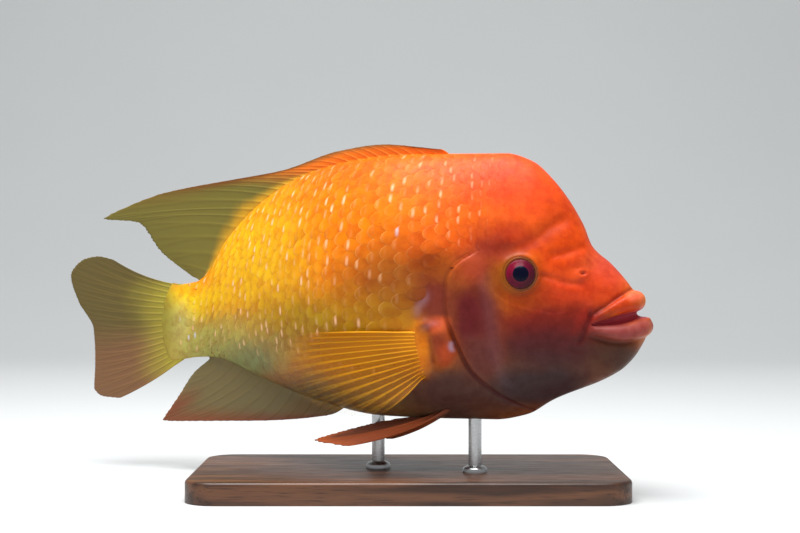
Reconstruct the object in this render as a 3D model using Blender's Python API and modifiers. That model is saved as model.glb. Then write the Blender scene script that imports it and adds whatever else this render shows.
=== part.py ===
"""Red devil cichlid, an adult male with a nuchal hump, as a life-size still model on a display stand.

Metres, +Z up. The origin is the centre of the stand's underside, the head points to +X, and the fish
turns its tail away to +Y as it swims. The body is one loft along a curved spine, parted by thin cuts.
"""

import math

import bmesh
import bpy
import numpy as np
from mathutils import Matrix, Vector

MM = 0.001
GAP = 0.3  # clearance between neighbouring pieces, in millimetres as every size below

# The spine, seen from above: distances run back from the snout, angles turn the tail away from the viewer
SNOUT_X = 109.0
SNOUT_Y = -30.0
HEAD_TURN = 10.0
TRUNK_TURN = 38.0
TAIL_TURN = 16.0
TRUNK_BEND = (75.0, 150.0)
TAIL_BEND = (190.0, 250.0)
STANDARD_LENGTH = 247.0
SPINE_REACH = (-20, 320)

# The body's outline: (distance back from the snout, height above the floor or half width)
BACK_LINE = [
    (1.5, 83.0), (4.0, 88.0), (9.0, 92.4), (18.5, 104.0), (27.5, 112.5), (31.0, 121.5), (45.0, 142.5),
    (54.0, 150.5), (66.0, 154.2), (112.0, 154.5), (143.0, 152.5), (172.0, 147.0), (200.0, 134.5),
    (221.0, 117.0), (231.0, 101.5), (238.0, 95.8), (STANDARD_LENGTH, 94.6),
]
BELLY_LINE = [
    (1.5, 77.5), (4.0, 70.5), (9.0, 62.3), (15.0, 56.6), (45.0, 43.0), (56.0, 36.6), (71.0, 33.8),
    (123.0, 34.0), (162.0, 39.0), (200.0, 48.5), (231.0, 57.6), (238.0, 57.3), (STANDARD_LENGTH, 55.6),
]
HALF_WIDTH = [
    (1.5, 3.5), (4.0, 7.2), (9.0, 10.4), (27.0, 16.2), (60.0, 22.6), (95.0, 26.2), (130.0, 25.0),
    (172.0, 19.0), (212.0, 11.3), (231.0, 8.2), (STANDARD_LENGTH, 4.0),
]
WAIST_HEIGHT = [
    (0.0, 80.0), (30.0, 78.0), (60.0, 84.0), (140.0, 92.0), (200.0, 90.0), (STANDARD_LENGTH, 75.0),
]
# Exponents of the section: 1 is an ellipse, less is fuller, more is keeled
BACK_KEEL = [(0.0, 0.95), (45.0, 0.88), (75.0, 0.92), (110.0, 1.2), (215.0, 1.3), (STANDARD_LENGTH, 1.0)]
BELLY_KEEL = [(0.0, 0.95), (60.0, 1.05), (100.0, 0.85), (150.0, 1.1), (215.0, 1.3), (STANDARD_LENGTH, 1.0)]
POINTS_AROUND = 36
# Rings of the loft, as (first, end, step): close on the face, wider on the trunk
RING_RUNS = ((1.5, 31.0, 2.4), (32.0, 92.0, 4.2), (96.0, STANDARD_LENGTH, 6.6))
# Where the helpers that cut the body begin and end
HEAD_BLOCK_END = 105.0
TRUNK_BLOCK_START = 40.0
COVER_BLOCK_START = 45.0
STALK_BLOCK_START = 205.0
STALK_CUT = 231.0
STALK_HEIGHT = 78.0
MOUTH_CORE = (11.0, 45.0)
MIDPLANE_CLEARANCE = 6.0
BEYOND_FLANK = 60.0
BEYOND_SNOUT = -12.0
BELOW_CHIN = 28.0

# Side-view lines on the head: (distance back, height)
GILL_EDGE = [
    (76.0, 109.3), (83.8, 104.1), (87.8, 95.8), (88.1, 85.0), (83.6, 69.0), (78.0, 57.0), (71.7, 50.7),
    (63.5, 44.8), (55.5, 41.0),
]
GILL_EDGE_STEPS = 16
CHEEK_EDGE = [
    (53.0, 45.5), (58.5, 50.5), (62.8, 58.5), (66.5, 68.7), (68.6, 79.6), (68.6, 92.7), (68.0, 104.0),
]
CHEEK_EDGE_STEPS = 9
NAPE = (90.0, 162.0)
ISTHMUS = (48.0, BELOW_CHIN)
GILL_COVER_THICKNESS = 3.0
GILL_COVER_LIFT = 1.3
GILL_LIFT_RISE = (66.0, 86.0)
GILL_LIFT_FOOT = (40.0, 60.0)
GILL_LIFT_TOP = (104.0, 112.0)
EYE_CENTRE = (57.3, 100.1)
EYE_RADIUS = 7.0
EYE_DEPTH = 5.6
EYE_RADII = (EYE_RADIUS, EYE_RADIUS, EYE_DEPTH)
EYE_STAND_OUT = 2.2
ORBIT_OUT = 0.5
ORBIT_RIM = 0.9
NOSTRIL = (30.5, 100.0)
NOSTRIL_RADII = (1.65, 1.1, 1.54)
MOUTH_CORNER = (27.0, 77.3)
# The line between the jaws: (distance back, height, how far it rises where the mouth opens)
MOUTH_LINE = [(BEYOND_SNOUT, 80.5, 4.5), (6.0, 79.0, 5.0), (16.0, 77.0, 3.6)]
JAW_GAP_LIFT = 0.3
MOUTH_TOP_LIFT = 1.0
MOUTH_BOTTOM_LIFT = -0.3
MOUTH_CORNER_INSET = 2.0
JAW_HINGE_LINE = [(31.0, 71.5), (33.0, 64.5), (36.0, 56.0), (41.0, 40.0)]
# Lips: (distance back, half width, height, radius of the lip) from the middle to the mouth's corner
UPPER_LIP = [
    (8.0, 0.0, 87.5, 4.7), (9.0, 5.0, 87.3, 4.7), (12.0, 8.8, 86.6, 4.6), (17.5, 11.7, 84.6, 4.2),
    (23.0, 13.9, 82.0, 3.3), (27.0, 15.4, 79.5, 1.7),
]
LOWER_LIP = [
    (4.6, 0.0, 77.0, 4.5), (5.6, 5.0, 76.5, 4.5), (9.5, 8.9, 75.1, 4.3), (14.5, 11.6, 74.5, 3.7),
    (20.5, 13.8, 74.3, 2.8), (26.0, 15.4, 75.0, 1.5),
]
LIP_DEPTH = 5.0

# Fins: each edge runs from the first ray's tip to the last ray's tip, as (distance back, height)
DORSAL_RAYS = 27
DORSAL_BASE = (91.0, 230.0)
DORSAL_SPINES = 0.6  # share of the base that carries stiff spines, folded low
FIN_SUNK = 1.5  # how deep the root lines of the back and anal fins start in the body
FIN_ROWS = 7
LONG_FIN_ROWS = 8
SPINE_NOTCH = 0.03
DORSAL_EDGE = [
    (0.0, 97.0, 156.2), (0.14, 126.0, 159.4), (0.3, 152.0, 157.4), (0.45, 187.0, 149.6), (0.6, 222.0, 145.6),
    (0.7, 257.0, 140.0), (0.76, 290.0, 127.4), (0.82, 272.0, 125.6), (0.91, 258.0, 110.0), (1.0, 241.0, 97.8),
]
ANAL_RAYS = 15
ANAL_BASE = (146.0, 229.0)
ANAL_EDGE = [
    (0.0, 158.0, 32.4), (0.2, 176.0, 29.6), (0.4, 205.0, 26.8), (0.62, 252.0, 25.0), (0.68, 257.0, 25.4),
    (0.8, 248.0, 38.0), (0.9, 240.0, 49.6), (1.0, 231.0, 56.8),
]
CAUDAL_RAYS = 17
CAUDAL_EDGE = [
    (0.0, 286.0, 107.2), (0.08, 299.0, 107.6), (0.2, 308.0, 98.4), (0.36, 304.0, 85.0), (0.52, 296.0, 71.0),
    (0.7, 295.5, 56.0), (0.88, 296.0, 41.0), (0.94, 291.0, 36.6), (1.0, 281.0, 35.8),
]
CAUDAL_ROOT = (94.0, 56.2)
PECTORAL_RAYS = 14
PECTORAL_ROOT = [
    (0.0, 99.3, 73.8), (0.25, 98.3, 68.5), (0.5, 97.2, 62.5), (0.78, 96.4, 56.5), (1.0, 96.6, 52.5),
]
PECTORAL_LOBE = (93.0, 67.0)
PECTORAL_LOBE_SIZE = (6.8, 12.0, 3.8)
PECTORAL_EDGE = [
    (0.0, 156.0, 71.5), (0.12, 170.0, 66.5), (0.28, 173.0, 58.5), (0.45, 163.0, 50.5), (0.62, 147.0, 43.5),
    (0.78, 131.0, 38.5), (0.9, 119.0, 36.8), (1.0, 108.5, 39.0),
]
PECTORAL_STAND_OFF = 10.0
PECTORAL_ROOT_OUT = 1.2
PECTORAL_LOWEST_REST = 62.0
PECTORAL_LOBE_OUT = 0.3
PELVIC_RAYS = 6
PELVIC_ROOT_BACK = 90.0
PELVIC_ROOT_SPREAD = (5.0, 11.5)
PELVIC_ROOT_SLANT = 3.0
PELVIC_ROOT_RISE = (5.4, 3.4)
PELVIC_EDGE = [
    (0.0, 132.0, 18.0, 21.2), (0.25, 152.0, 15.5, 22.4), (0.6, 138.0, 10.5, 27.4), (1.0, 121.0, 6.0, 32.4),
]
PELVIC_BOW = 2.6
RAY_THICKNESS = 1.5
CAUDAL_THICKNESS = 2.4
PECTORAL_THICKNESS = 1.3
PELVIC_THICKNESS = 1.8
MEMBRANE_SHARE = 0.5  # of the ray's thickness
TIP_SHARE = 0.5  # thickness left at the fin's edge

# The display stand
BASE_LENGTH = 196.0
BASE_WIDTH = 104.0
BASE_HEIGHT = 10.0
BASE_CORNER = 14.0
BASE_BEVEL = 1.5
ROD_RADIUS = 3.0
ROD_DEPTH_IN_BELLY = 12.0
SOCKET_BELOW_BELLY = 10.0
CORNER_STEPS = 6
ROD_DISTANCES = {"stand_rod_front": 80.0, "stand_rod_rear": 127.0}


# Curves and the spine


def smooth_step(value, start, end):
    t = min(max((value - start) / (end - start), 0.0), 1.0)
    return t * t * (3.0 - 2.0 * t)


def along(line, value, column=1):
    """A column of a line at a value of its first column, on a smooth curve that never overshoots."""
    xs = np.array([point[0] for point in line], float)
    ys = np.array([point[column] for point in line], float)
    steps = np.diff(xs)
    slopes = np.diff(ys) / steps
    tangents = np.zeros(len(xs))
    tangents[0], tangents[-1] = slopes[0], slopes[-1]
    for i in range(1, len(xs) - 1):
        if slopes[i - 1] * slopes[i] > 0:
            near, far = steps[i - 1] + 2 * steps[i], 2 * steps[i - 1] + steps[i]
            tangents[i] = (near + far) / (near / slopes[i] + far / slopes[i - 1])
    value = min(max(value, xs[0]), xs[-1])
    i = min(int(np.searchsorted(xs, value, side="right")) - 1, len(slopes) - 1)
    t = (value - xs[i]) / steps[i]
    rise = ys[i + 1] - ys[i]
    a, b = tangents[i] * steps[i], tangents[i + 1] * steps[i]
    return ys[i] + t * (a + t * (3 * rise - 2 * a - b + t * (a + b - 2 * rise)))


def turn(back):
    """The spine's angle to the viewer's plane, in radians, at a distance back from the snout."""
    trunk = (TRUNK_TURN - HEAD_TURN) * smooth_step(back, *TRUNK_BEND)
    tail = (TAIL_TURN - TRUNK_TURN) * smooth_step(back, *TAIL_BEND)
    return math.radians(HEAD_TURN + trunk + tail)


def spine_table():
    """The spine's points at every millimetre, with the snout at distance 0."""
    start, end = SPINE_REACH
    steps = [turn(back + 0.5) for back in range(start, end)]
    xs = np.concatenate([[0.0], np.cumsum([-math.cos(angle) for angle in steps])])
    ys = np.concatenate([[0.0], np.cumsum([math.sin(angle) for angle in steps])])
    return np.arange(start, end + 1), xs - xs[-start] + SNOUT_X, ys - ys[-start] + SNOUT_Y


SPINE = spine_table()


def place(back, side, height):
    """World point of a place on the fish: back from the snout, out to its right side, above the floor."""
    angle = turn(back)
    x = np.interp(back, SPINE[0], SPINE[1]) - side * math.sin(angle)
    y = np.interp(back, SPINE[0], SPINE[2]) - side * math.cos(angle)
    return Vector((x, y, height)) * MM


def head_frame(back, side, height, tilt=0.0):
    """Matrix at a place on the fish: local X runs back along it, Y is up, and Z points to its left."""
    angle = turn(back)
    axes = Matrix(
        (
            (-math.cos(angle), 0.0, math.sin(angle)),
            (math.sin(angle), 0.0, math.cos(angle)),
            (0.0, 1.0, 0.0),
        )
    )
    return Matrix.Translation(place(back, side, height)) @ axes.to_4x4() @ Matrix.Rotation(tilt, 4, "X")


# The body's surface


def gill_lift(back, height):
    """How far the gill cover stands proud: nothing at the cheek, most at its free rear edge."""
    upright = smooth_step(height, *GILL_LIFT_FOOT) * (1.0 - smooth_step(height, *GILL_LIFT_TOP))
    return GILL_COVER_LIFT * smooth_step(back, *GILL_LIFT_RISE) * upright


def body_place(back, around, grow=0.0, lifted=False):
    """(side, height) of the surface, with around 0 on the back and a half turn on the belly."""
    top, bottom = along(BACK_LINE, back), along(BELLY_LINE, back)
    waist, width = along(WAIST_HEIGHT, back), along(HALF_WIDTH, back)
    up, out = math.cos(around), math.sin(around)
    keel = along(BACK_KEEL if up > 0 else BELLY_KEEL, back)
    height = waist + (top - waist if up > 0 else waist - bottom) * up
    side = width * math.copysign(abs(out) ** keel, out)
    if lifted:
        side += math.copysign(gill_lift(back, height), out) * min(1.0, 2.0 * abs(out))
    return side + grow * out, height + grow * up


def side_at(back, height, grow=0.0):
    """Half width of the body's right side at a height."""
    low, high = 0.0, math.pi
    for _ in range(40):
        middle = (low + high) / 2
        if body_place(back, middle, grow)[1] > height:
            low = middle
        else:
            high = middle
    return body_place(back, low, grow)[0]


# Meshes, curves and Booleans


def new_object(name, mesh, material=None, helper=False):
    made = bpy.data.objects.new(name, mesh)
    (HELPERS if helper else FISH).objects.link(made)
    made.hide_render = helper
    if helper:
        made.display_type = "WIRE"
    if material:
        mesh.materials.clear()
        mesh.materials.append(material)
    return made


def mesh_from(bm, name):
    bmesh.ops.recalc_face_normals(bm, faces=bm.faces)
    mesh = bpy.data.meshes.new(name)
    bm.to_mesh(mesh)
    bm.free()
    mesh.shade_smooth()
    return mesh


def station_distances():
    runs = [np.arange(*run) for run in RING_RUNS]
    return [*np.concatenate(runs), STANDARD_LENGTH]


def body_loft(name, grow=0.0, lifted=False, first=0.0, last=STANDARD_LENGTH):
    """The whole body, or a stretch of it, as one closed helper."""
    bm = bmesh.new()
    rings = []
    for back in [d for d in station_distances() if first <= d <= last]:
        ring = []
        for i in range(POINTS_AROUND):
            around = 2 * math.pi * i / POINTS_AROUND
            if around > math.pi:
                around -= 2 * math.pi
            side, height = body_place(back, around, grow, lifted)
            ring.append(bm.verts.new(place(back, side, height)))
        rings.append(ring)
    for fore, rear in zip(rings, rings[1:]):
        for i in range(POINTS_AROUND):
            j = (i + 1) % POINTS_AROUND
            bm.faces.new((fore[i], fore[j], rear[j], rear[i]))
    bm.faces.new(rings[0])
    bm.faces.new(rings[-1])
    return new_object(name, mesh_from(bm, name), helper=True)


def as_mesh(source, name):
    """A curve object as a closed mesh helper, with its caps welded."""
    bpy.context.view_layer.update()
    evaluated = source.evaluated_get(bpy.context.evaluated_depsgraph_get())
    mesh = bpy.data.meshes.new_from_object(evaluated)
    bm = bmesh.new()
    bm.from_mesh(mesh)
    bmesh.ops.remove_doubles(bm, verts=bm.verts, dist=1e-6)
    bmesh.ops.recalc_face_normals(bm, faces=bm.faces)
    bm.to_mesh(mesh)
    bm.free()
    made = new_object(name, mesh, helper=True)
    made.matrix_world = source.matrix_world.copy()
    bpy.data.objects.remove(source)
    return made


def side_prism(name, outline, near=-BEYOND_FLANK, far=BEYOND_FLANK):
    """A side-view outline of (distance back, height) points, cut right through from one side to another."""
    curve = bpy.data.curves.new(name, "CURVE")
    curve.dimensions = "2D"
    curve.fill_mode = "BOTH"
    curve.extrude = (far - near) / 2 * MM
    spline = curve.splines.new("POLY")
    spline.points.add(len(outline) - 1)
    for point, (back, height) in zip(spline.points, outline):
        point.co = (back * MM, height * MM, 0.0, 1.0)
    spline.use_cyclic_u = True
    source = bpy.data.objects.new(name + "_outline", curve)
    HELPERS.objects.link(source)
    source.matrix_world = head_frame(0.0, (near + far) / 2, 0.0)
    return as_mesh(source, name)


def smooth_line(line, steps):
    """Points evenly along a side-view line, on a smooth curve through its own points."""
    indexed = [(i, *point) for i, point in enumerate(line)]
    values = np.linspace(0, len(line) - 1, steps)
    return [tuple(along(indexed, value, column) for column in range(1, len(indexed[0]))) for value in values]


def grown(outline, gap):
    """A closed outline with every edge moved outwards by a gap."""
    points = np.array(outline, float)
    turns = np.roll(points, -1, axis=0)
    area = (points[:, 0] * turns[:, 1] - points[:, 1] * turns[:, 0]).sum()
    edges = turns - points
    normals = np.stack([edges[:, 1], -edges[:, 0]], axis=1) * math.copysign(1.0, area)
    normals /= np.linalg.norm(normals, axis=1)[:, None]
    mitres = normals + np.roll(normals, 1, axis=0)
    mitres /= (mitres * normals).sum(axis=1)[:, None]
    return [tuple(point) for point in points + mitres * gap]


def lip(name, half):
    """A lip: a tapered tube that runs from one corner of the mouth round the front to the other."""
    curve = bpy.data.curves.new(name, "CURVE")
    curve.dimensions = "3D"
    curve.bevel_depth = MM
    curve.bevel_resolution = 2
    curve.use_fill_caps = True
    run = smooth_line(half, 9)
    points = [(d, -s, h, r) for d, s, h, r in reversed(run)] + run[1:]
    spline = curve.splines.new("POLY")
    spline.points.add(len(points) - 1)
    for point, (back, side, height, radius) in zip(spline.points, points):
        point.co = (*place(back, side, height), 1.0)
        point.radius = radius
    source = bpy.data.objects.new(name + "_line", curve)
    HELPERS.objects.link(source)
    return as_mesh(source, name)


def ball(name, matrix, radii, segments=18, rings=10):
    bm = bmesh.new()
    bmesh.ops.create_uvsphere(bm, u_segments=segments, v_segments=rings, radius=1.0)
    bmesh.ops.transform(bm, matrix=Matrix.Diagonal((*(r * MM for r in radii), 1.0)), verts=bm.verts)
    made = new_object(name, mesh_from(bm, name), helper=True)
    made.matrix_world = matrix
    return made


def ring_rim(name, matrix, radius, thickness):
    """A thin ring of skin, as round the eye."""
    bpy.ops.mesh.primitive_torus_add(
        major_segments=20, minor_segments=5, major_radius=radius * MM, minor_radius=thickness * MM
    )
    torus = bpy.context.object
    made = new_object(name, torus.data, helper=True)
    bpy.data.objects.remove(torus)
    made.matrix_world = matrix
    return made


def copy_of(source, name):
    made = new_object(name, source.data.copy(), helper=True)
    made.matrix_world = source.matrix_world.copy()
    return made


def boolean(target, operation, *operands):
    """Joins or cuts target with helpers, applies it and keeps the helpers for the next cut."""
    group = bpy.data.collections.new(target.name + "_" + operation.lower())
    for operand in operands:
        group.objects.link(operand)
    cut = target.modifiers.new(operation.title(), "BOOLEAN")
    cut.operation = operation
    cut.solver = "EXACT"
    cut.operand_type = "COLLECTION"
    cut.collection = group
    bpy.context.view_layer.update()
    evaluated = target.evaluated_get(bpy.context.evaluated_depsgraph_get())
    mesh = bpy.data.meshes.new_from_object(evaluated)
    target.modifiers.clear()
    target.data = mesh
    bpy.data.collections.remove(group)


def islands(bm):
    """The mesh's closed surfaces, each as a list of its vertices."""
    left, found = set(bm.verts), []
    while left:
        stack, island = [left.pop()], []
        while stack:
            vertex = stack.pop()
            island.append(vertex)
            for edge in vertex.link_edges:
                other = edge.other_vert(vertex)
                if other in left:
                    left.remove(other)
                    stack.append(other)
        found.append(island)
    return found


def drop_doubled_faces(bm):
    """Deletes slivers that a cut left back to back on the same corners."""
    by_corners = {}
    for face in bm.faces:
        by_corners.setdefault(frozenset(face.verts), []).append(face)
    doubled = [face for faces in by_corners.values() for face in faces[len(faces) % 2 :]]
    bmesh.ops.delete(bm, geom=doubled, context="FACES")


def finish_node(source, name, material):
    """A finished piece of the model: its largest closed surface, in world space."""
    bm = bmesh.new()
    bm.from_mesh(source.data)
    bmesh.ops.transform(bm, matrix=source.matrix_world, verts=bm.verts)
    found = sorted(islands(bm), key=len)
    bmesh.ops.delete(bm, geom=[v for island in found[:-1] for v in island], context="VERTS")
    bmesh.ops.triangulate(bm, faces=[f for f in bm.faces if len(f.verts) > 4])
    drop_doubled_faces(bm)
    made = new_object(name, mesh_from(bm, name), material)
    bpy.data.objects.remove(source)
    return made


# Fins


def edge_point(edge, share):
    return tuple(along(edge, share, column) for column in range(1, len(edge[0])))


def fin_sheet(name, rays, rows, root, tip, bow, thickness=RAY_THICKNESS, notch=0.0):
    """A fin as a closed sheet whose rays are ridges: root and tip give a ray's ends as fish places."""
    columns = 2 * rays - 1
    bm = bmesh.new()
    bmesh.ops.create_grid(bm, x_segments=columns - 1, y_segments=rows - 1, size=0.5)
    weights = {}
    for vertex in bm.verts:
        share, out = vertex.co.x + 0.5, vertex.co.y + 0.5
        between = round(share * (columns - 1)) % 2
        reach = out * (1.0 - between * notch)
        start, end = np.array(root(share)), np.array(tip(share))
        spot = start + (end - start) * reach + np.array(bow(share)) * 4 * reach * (1 - reach)
        vertex.co = place(*spot)
        weights[vertex.index] = (MEMBRANE_SHARE if between else 1.0) * (1.0 - (1.0 - TIP_SHARE) * out)
    bmesh.ops.triangulate(bm, faces=bm.faces)
    mesh = mesh_from(bm, name)
    made = new_object(name + "_sheet", mesh, helper=True)
    group = made.vertex_groups.new(name="thickness")
    for index, weight in weights.items():
        group.add([index], weight, "REPLACE")
    wall = made.modifiers.new("Wall", "SOLIDIFY")
    wall.thickness = thickness * MM
    wall.offset = 0.0
    wall.vertex_group = group.name
    bpy.context.view_layer.update()
    evaluated = made.evaluated_get(bpy.context.evaluated_depsgraph_get())
    bm = bmesh.new()
    bm.from_mesh(bpy.data.meshes.new_from_object(evaluated))
    made.modifiers.clear()
    made.data = mesh_from(bm, name)
    return made


def make_dorsal_fin(envelope, material):
    def root(share):
        back = DORSAL_BASE[0] + (DORSAL_BASE[1] - DORSAL_BASE[0]) * share
        return back, 0.0, along(BACK_LINE, back) - FIN_SUNK

    def tip(share):
        back, height = edge_point(DORSAL_EDGE, share)
        return back, 0.0, height

    def bow(share):
        soft = smooth_step(share, DORSAL_SPINES, 1.0)
        return -2.0 * soft, 0.0, 1.0 + 2.0 * soft

    sheet = fin_sheet("dorsal_fin", DORSAL_RAYS, FIN_ROWS, root, tip, bow, notch=SPINE_NOTCH)
    boolean(sheet, "DIFFERENCE", envelope)
    return finish_node(sheet, "dorsal_fin", material)


def make_anal_fin(envelope, material):
    def root(share):
        back = ANAL_BASE[0] + (ANAL_BASE[1] - ANAL_BASE[0]) * share
        return back, 0.0, along(BELLY_LINE, back) + FIN_SUNK

    def tip(share):
        back, height = edge_point(ANAL_EDGE, share)
        return back, 0.0, height

    def bow(share):
        return -1.5 * share, 0.0, -1.0 - 1.5 * share

    sheet = fin_sheet("anal_fin", ANAL_RAYS, FIN_ROWS, root, tip, bow, notch=SPINE_NOTCH)
    boolean(sheet, "DIFFERENCE", envelope)
    return finish_node(sheet, "anal_fin", material)


def make_caudal_fin(material):
    high, low = CAUDAL_ROOT

    def root(share):
        return STANDARD_LENGTH + GAP, 0.0, high + (low - high) * share

    def tip(share):
        back, height = edge_point(CAUDAL_EDGE, share)
        return back, 0.0, height

    def bow(share):
        return 0.0, 0.0, -2.5 + 1.0 * share

    sheet = fin_sheet("caudal_fin", CAUDAL_RAYS, LONG_FIN_ROWS, root, tip, bow, CAUDAL_THICKNESS)
    return finish_node(sheet, "caudal_fin", material)


def fin_lobe(name, side, centre, radii):
    """The fleshy root of a paired fin: a flattened ball that bends with the flank it sits on."""
    bm = bmesh.new()
    bmesh.ops.create_uvsphere(bm, u_segments=14, v_segments=9, radius=1.0)
    back, height = centre
    out = side_at(back, height) + PECTORAL_LOBE_OUT
    for vertex in bm.verts:
        x, y, z = vertex.co
        vertex.co = place(back + x * radii[0], side * (out + z * radii[2]), height + y * radii[1])
    return new_object(name, mesh_from(bm, name), helper=True)


def make_pectoral_fin(side, envelope, material):
    """A pectoral fin: a fan of rays from a fleshy lobe behind the gill cover."""
    name = "pectoral_fin_" + ("right" if side > 0 else "left")

    def root(share):
        back, height = edge_point(PECTORAL_ROOT, share)
        return back, side * (side_at(back, height) + PECTORAL_ROOT_OUT), height

    def tip(share):
        back, height = edge_point(PECTORAL_EDGE, share)
        out = side_at(back, max(height, PECTORAL_LOWEST_REST)) + PECTORAL_STAND_OFF
        return back, side * out, height

    def bow(share):
        return 0.0, side * -0.5, 1.0 - 2.0 * share

    sheet = fin_sheet(name, PECTORAL_RAYS, FIN_ROWS, root, tip, bow, PECTORAL_THICKNESS)
    lobe = fin_lobe(name + "_lobe", side, PECTORAL_LOBE, PECTORAL_LOBE_SIZE)
    boolean(sheet, "UNION", lobe)
    boolean(sheet, "DIFFERENCE", envelope)
    bpy.data.objects.remove(lobe)
    return finish_node(sheet, name, material)


def make_pelvic_fin(side, envelope, material):
    """A pelvic fin: one spine and five rays from the chest, folded back under the belly."""
    name = "pelvic_fin_" + ("right" if side > 0 else "left")
    inner, outer = PELVIC_ROOT_SPREAD

    def root(share):
        out = outer + (inner - outer) * share
        rise = PELVIC_ROOT_RISE[0] - PELVIC_ROOT_RISE[1] * share
        back = PELVIC_ROOT_BACK + PELVIC_ROOT_SLANT * share
        return back, side * out, along(BELLY_LINE, PELVIC_ROOT_BACK) + rise

    def tip(share):
        back, out, height = edge_point(PELVIC_EDGE, share)
        return back, side * out, height

    def bow(share):
        return 0.0, 0.0, -PELVIC_BOW * (1.0 - share)

    sheet = fin_sheet(name, PELVIC_RAYS, LONG_FIN_ROWS, root, tip, bow, PELVIC_THICKNESS)
    boolean(sheet, "DIFFERENCE", envelope)
    return finish_node(sheet, name, material)


# The stand


def make_stand(materials):
    """A flat base with rounded corners, and two short rods that end in blind sockets in the belly."""
    curve = bpy.data.curves.new("stand_outline", "CURVE")
    curve.dimensions = "2D"
    curve.fill_mode = "BOTH"
    curve.extrude = (BASE_HEIGHT / 2 - BASE_BEVEL) * MM
    curve.bevel_depth = BASE_BEVEL * MM
    curve.bevel_resolution = 1
    curve.offset = -BASE_BEVEL * MM
    spline = curve.splines.new("POLY")
    corners = []
    for quarter, (x, y) in enumerate(((1, 1), (-1, 1), (-1, -1), (1, -1))):
        for step in range(CORNER_STEPS):
            angle = math.radians(90.0 * (quarter + step / (CORNER_STEPS - 1)))
            along_x = x * (BASE_LENGTH / 2 - BASE_CORNER) + BASE_CORNER * math.cos(angle)
            along_y = y * (BASE_WIDTH / 2 - BASE_CORNER) + BASE_CORNER * math.sin(angle)
            corners.append((along_x, along_y))
    spline.points.add(len(corners) - 1)
    for point, (x, y) in zip(spline.points, corners):
        point.co = (x * MM, y * MM, 0.0, 1.0)
    spline.use_cyclic_u = True
    source = bpy.data.objects.new("stand_outline", curve)
    HELPERS.objects.link(source)
    source.location.z = BASE_HEIGHT / 2 * MM
    bpy.context.view_layer.update()
    finish_node(as_mesh(source, "stand_base_solid"), "stand_base", materials["walnut"])
    for name, back in ROD_DISTANCES.items():
        foot = place(back, 0.0, BASE_HEIGHT + GAP)
        head = along(BELLY_LINE, back) + ROD_DEPTH_IN_BELLY - GAP
        rod = rod_solid(name + "_solid", foot, head - BASE_HEIGHT - GAP, ROD_RADIUS)
        finish_node(rod, name, materials["steel"])


def rod_solid(name, foot, length, radius):
    bm = bmesh.new()
    bmesh.ops.create_cone(
        bm, cap_ends=True, segments=20, radius1=radius * MM, radius2=radius * MM, depth=length * MM
    )
    bmesh.ops.translate(bm, vec=foot + Vector((0.0, 0.0, length / 2 * MM)), verts=bm.verts)
    return new_object(name, mesh_from(bm, name), helper=True)


def rod_sockets():
    """Cutters for the blind sockets in the belly."""
    made = []
    for name, back in ROD_DISTANCES.items():
        foot = place(back, 0.0, along(BELLY_LINE, back) - SOCKET_BELOW_BELLY)
        depth = ROD_DEPTH_IN_BELLY + SOCKET_BELOW_BELLY
        made.append(rod_solid(name + "_socket", foot, depth, ROD_RADIUS + GAP))
    return made


# Head, jaw, gill covers, trunk and tail stalk


def head_outline():
    """Side-view region of the head: all that lies before the gill opening."""
    front = [(BEYOND_SNOUT, ISTHMUS[1]), (BEYOND_SNOUT, NAPE[1])]
    return [NAPE, *smooth_line(GILL_EDGE, GILL_EDGE_STEPS), ISTHMUS, *front]


def mouth_line(lift):
    """The line between the jaws, from before the lips to the corner, with lift to raise it at the front."""
    return [(back, height + rise * lift) for back, height, rise in MOUTH_LINE]


def jaw_outline(lift):
    """Side-view region of the lower jaw: below the mouth line and before the hinge line."""
    under = [(JAW_HINGE_LINE[-1][0], BELOW_CHIN), (BEYOND_SNOUT, BELOW_CHIN)]
    return [*mouth_line(lift), MOUTH_CORNER, *JAW_HINGE_LINE, *under]


def gill_outline():
    """Side-view region of a gill cover, between the cheek's rear edge and the gill opening."""
    return [*smooth_line(GILL_EDGE, GILL_EDGE_STEPS), *smooth_line(CHEEK_EDGE, CHEEK_EDGE_STEPS)]


def eye_frame(side):
    back, height = EYE_CENTRE
    out = side_at(back, height) - EYE_DEPTH + EYE_STAND_OUT
    return head_frame(back, side * out, height)


def make_jaw(block, materials):
    """The lower jaw with its lip, cut from a copy of the head's block."""
    jaw = copy_of(block, "lower_jaw_block")
    boolean(jaw, "INTERSECT", side_prism("jaw_region", jaw_outline(0.0)))
    boolean(jaw, "UNION", lip("lower_lip", LOWER_LIP))
    finish_node(jaw, "lower_jaw", materials["skin_red"])


def make_gill_cover(side, word, core, materials):
    """A gill cover: a curved plate that stands a little proud at its free rear edge."""
    cover = body_loft("gill_cover_block_" + word, 0.0, True, COVER_BLOCK_START, HEAD_BLOCK_END)
    near, far = sorted((side * MIDPLANE_CLEARANCE, side * BEYOND_FLANK))
    region = side_prism("gill_region_" + word, gill_outline(), near, far)
    boolean(cover, "INTERSECT", region)
    boolean(cover, "DIFFERENCE", core)
    finish_node(cover, "gill_cover_" + word, materials["skin_red"])


def gill_bed(side, word, core):
    """The hollow in the head that a gill cover fills, with clearance all round it."""
    near, far = sorted((side * (MIDPLANE_CLEARANCE - GAP), side * (BEYOND_FLANK + MIDPLANE_CLEARANCE)))
    bed = side_prism("gill_bed_" + word, grown(gill_outline(), GAP), near, far)
    boolean(bed, "DIFFERENCE", core)
    return bed


def on_skin(side, spot):
    """Frame on the skin at a side-view spot of the head."""
    return head_frame(spot[0], side * side_at(*spot), spot[1])


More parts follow.
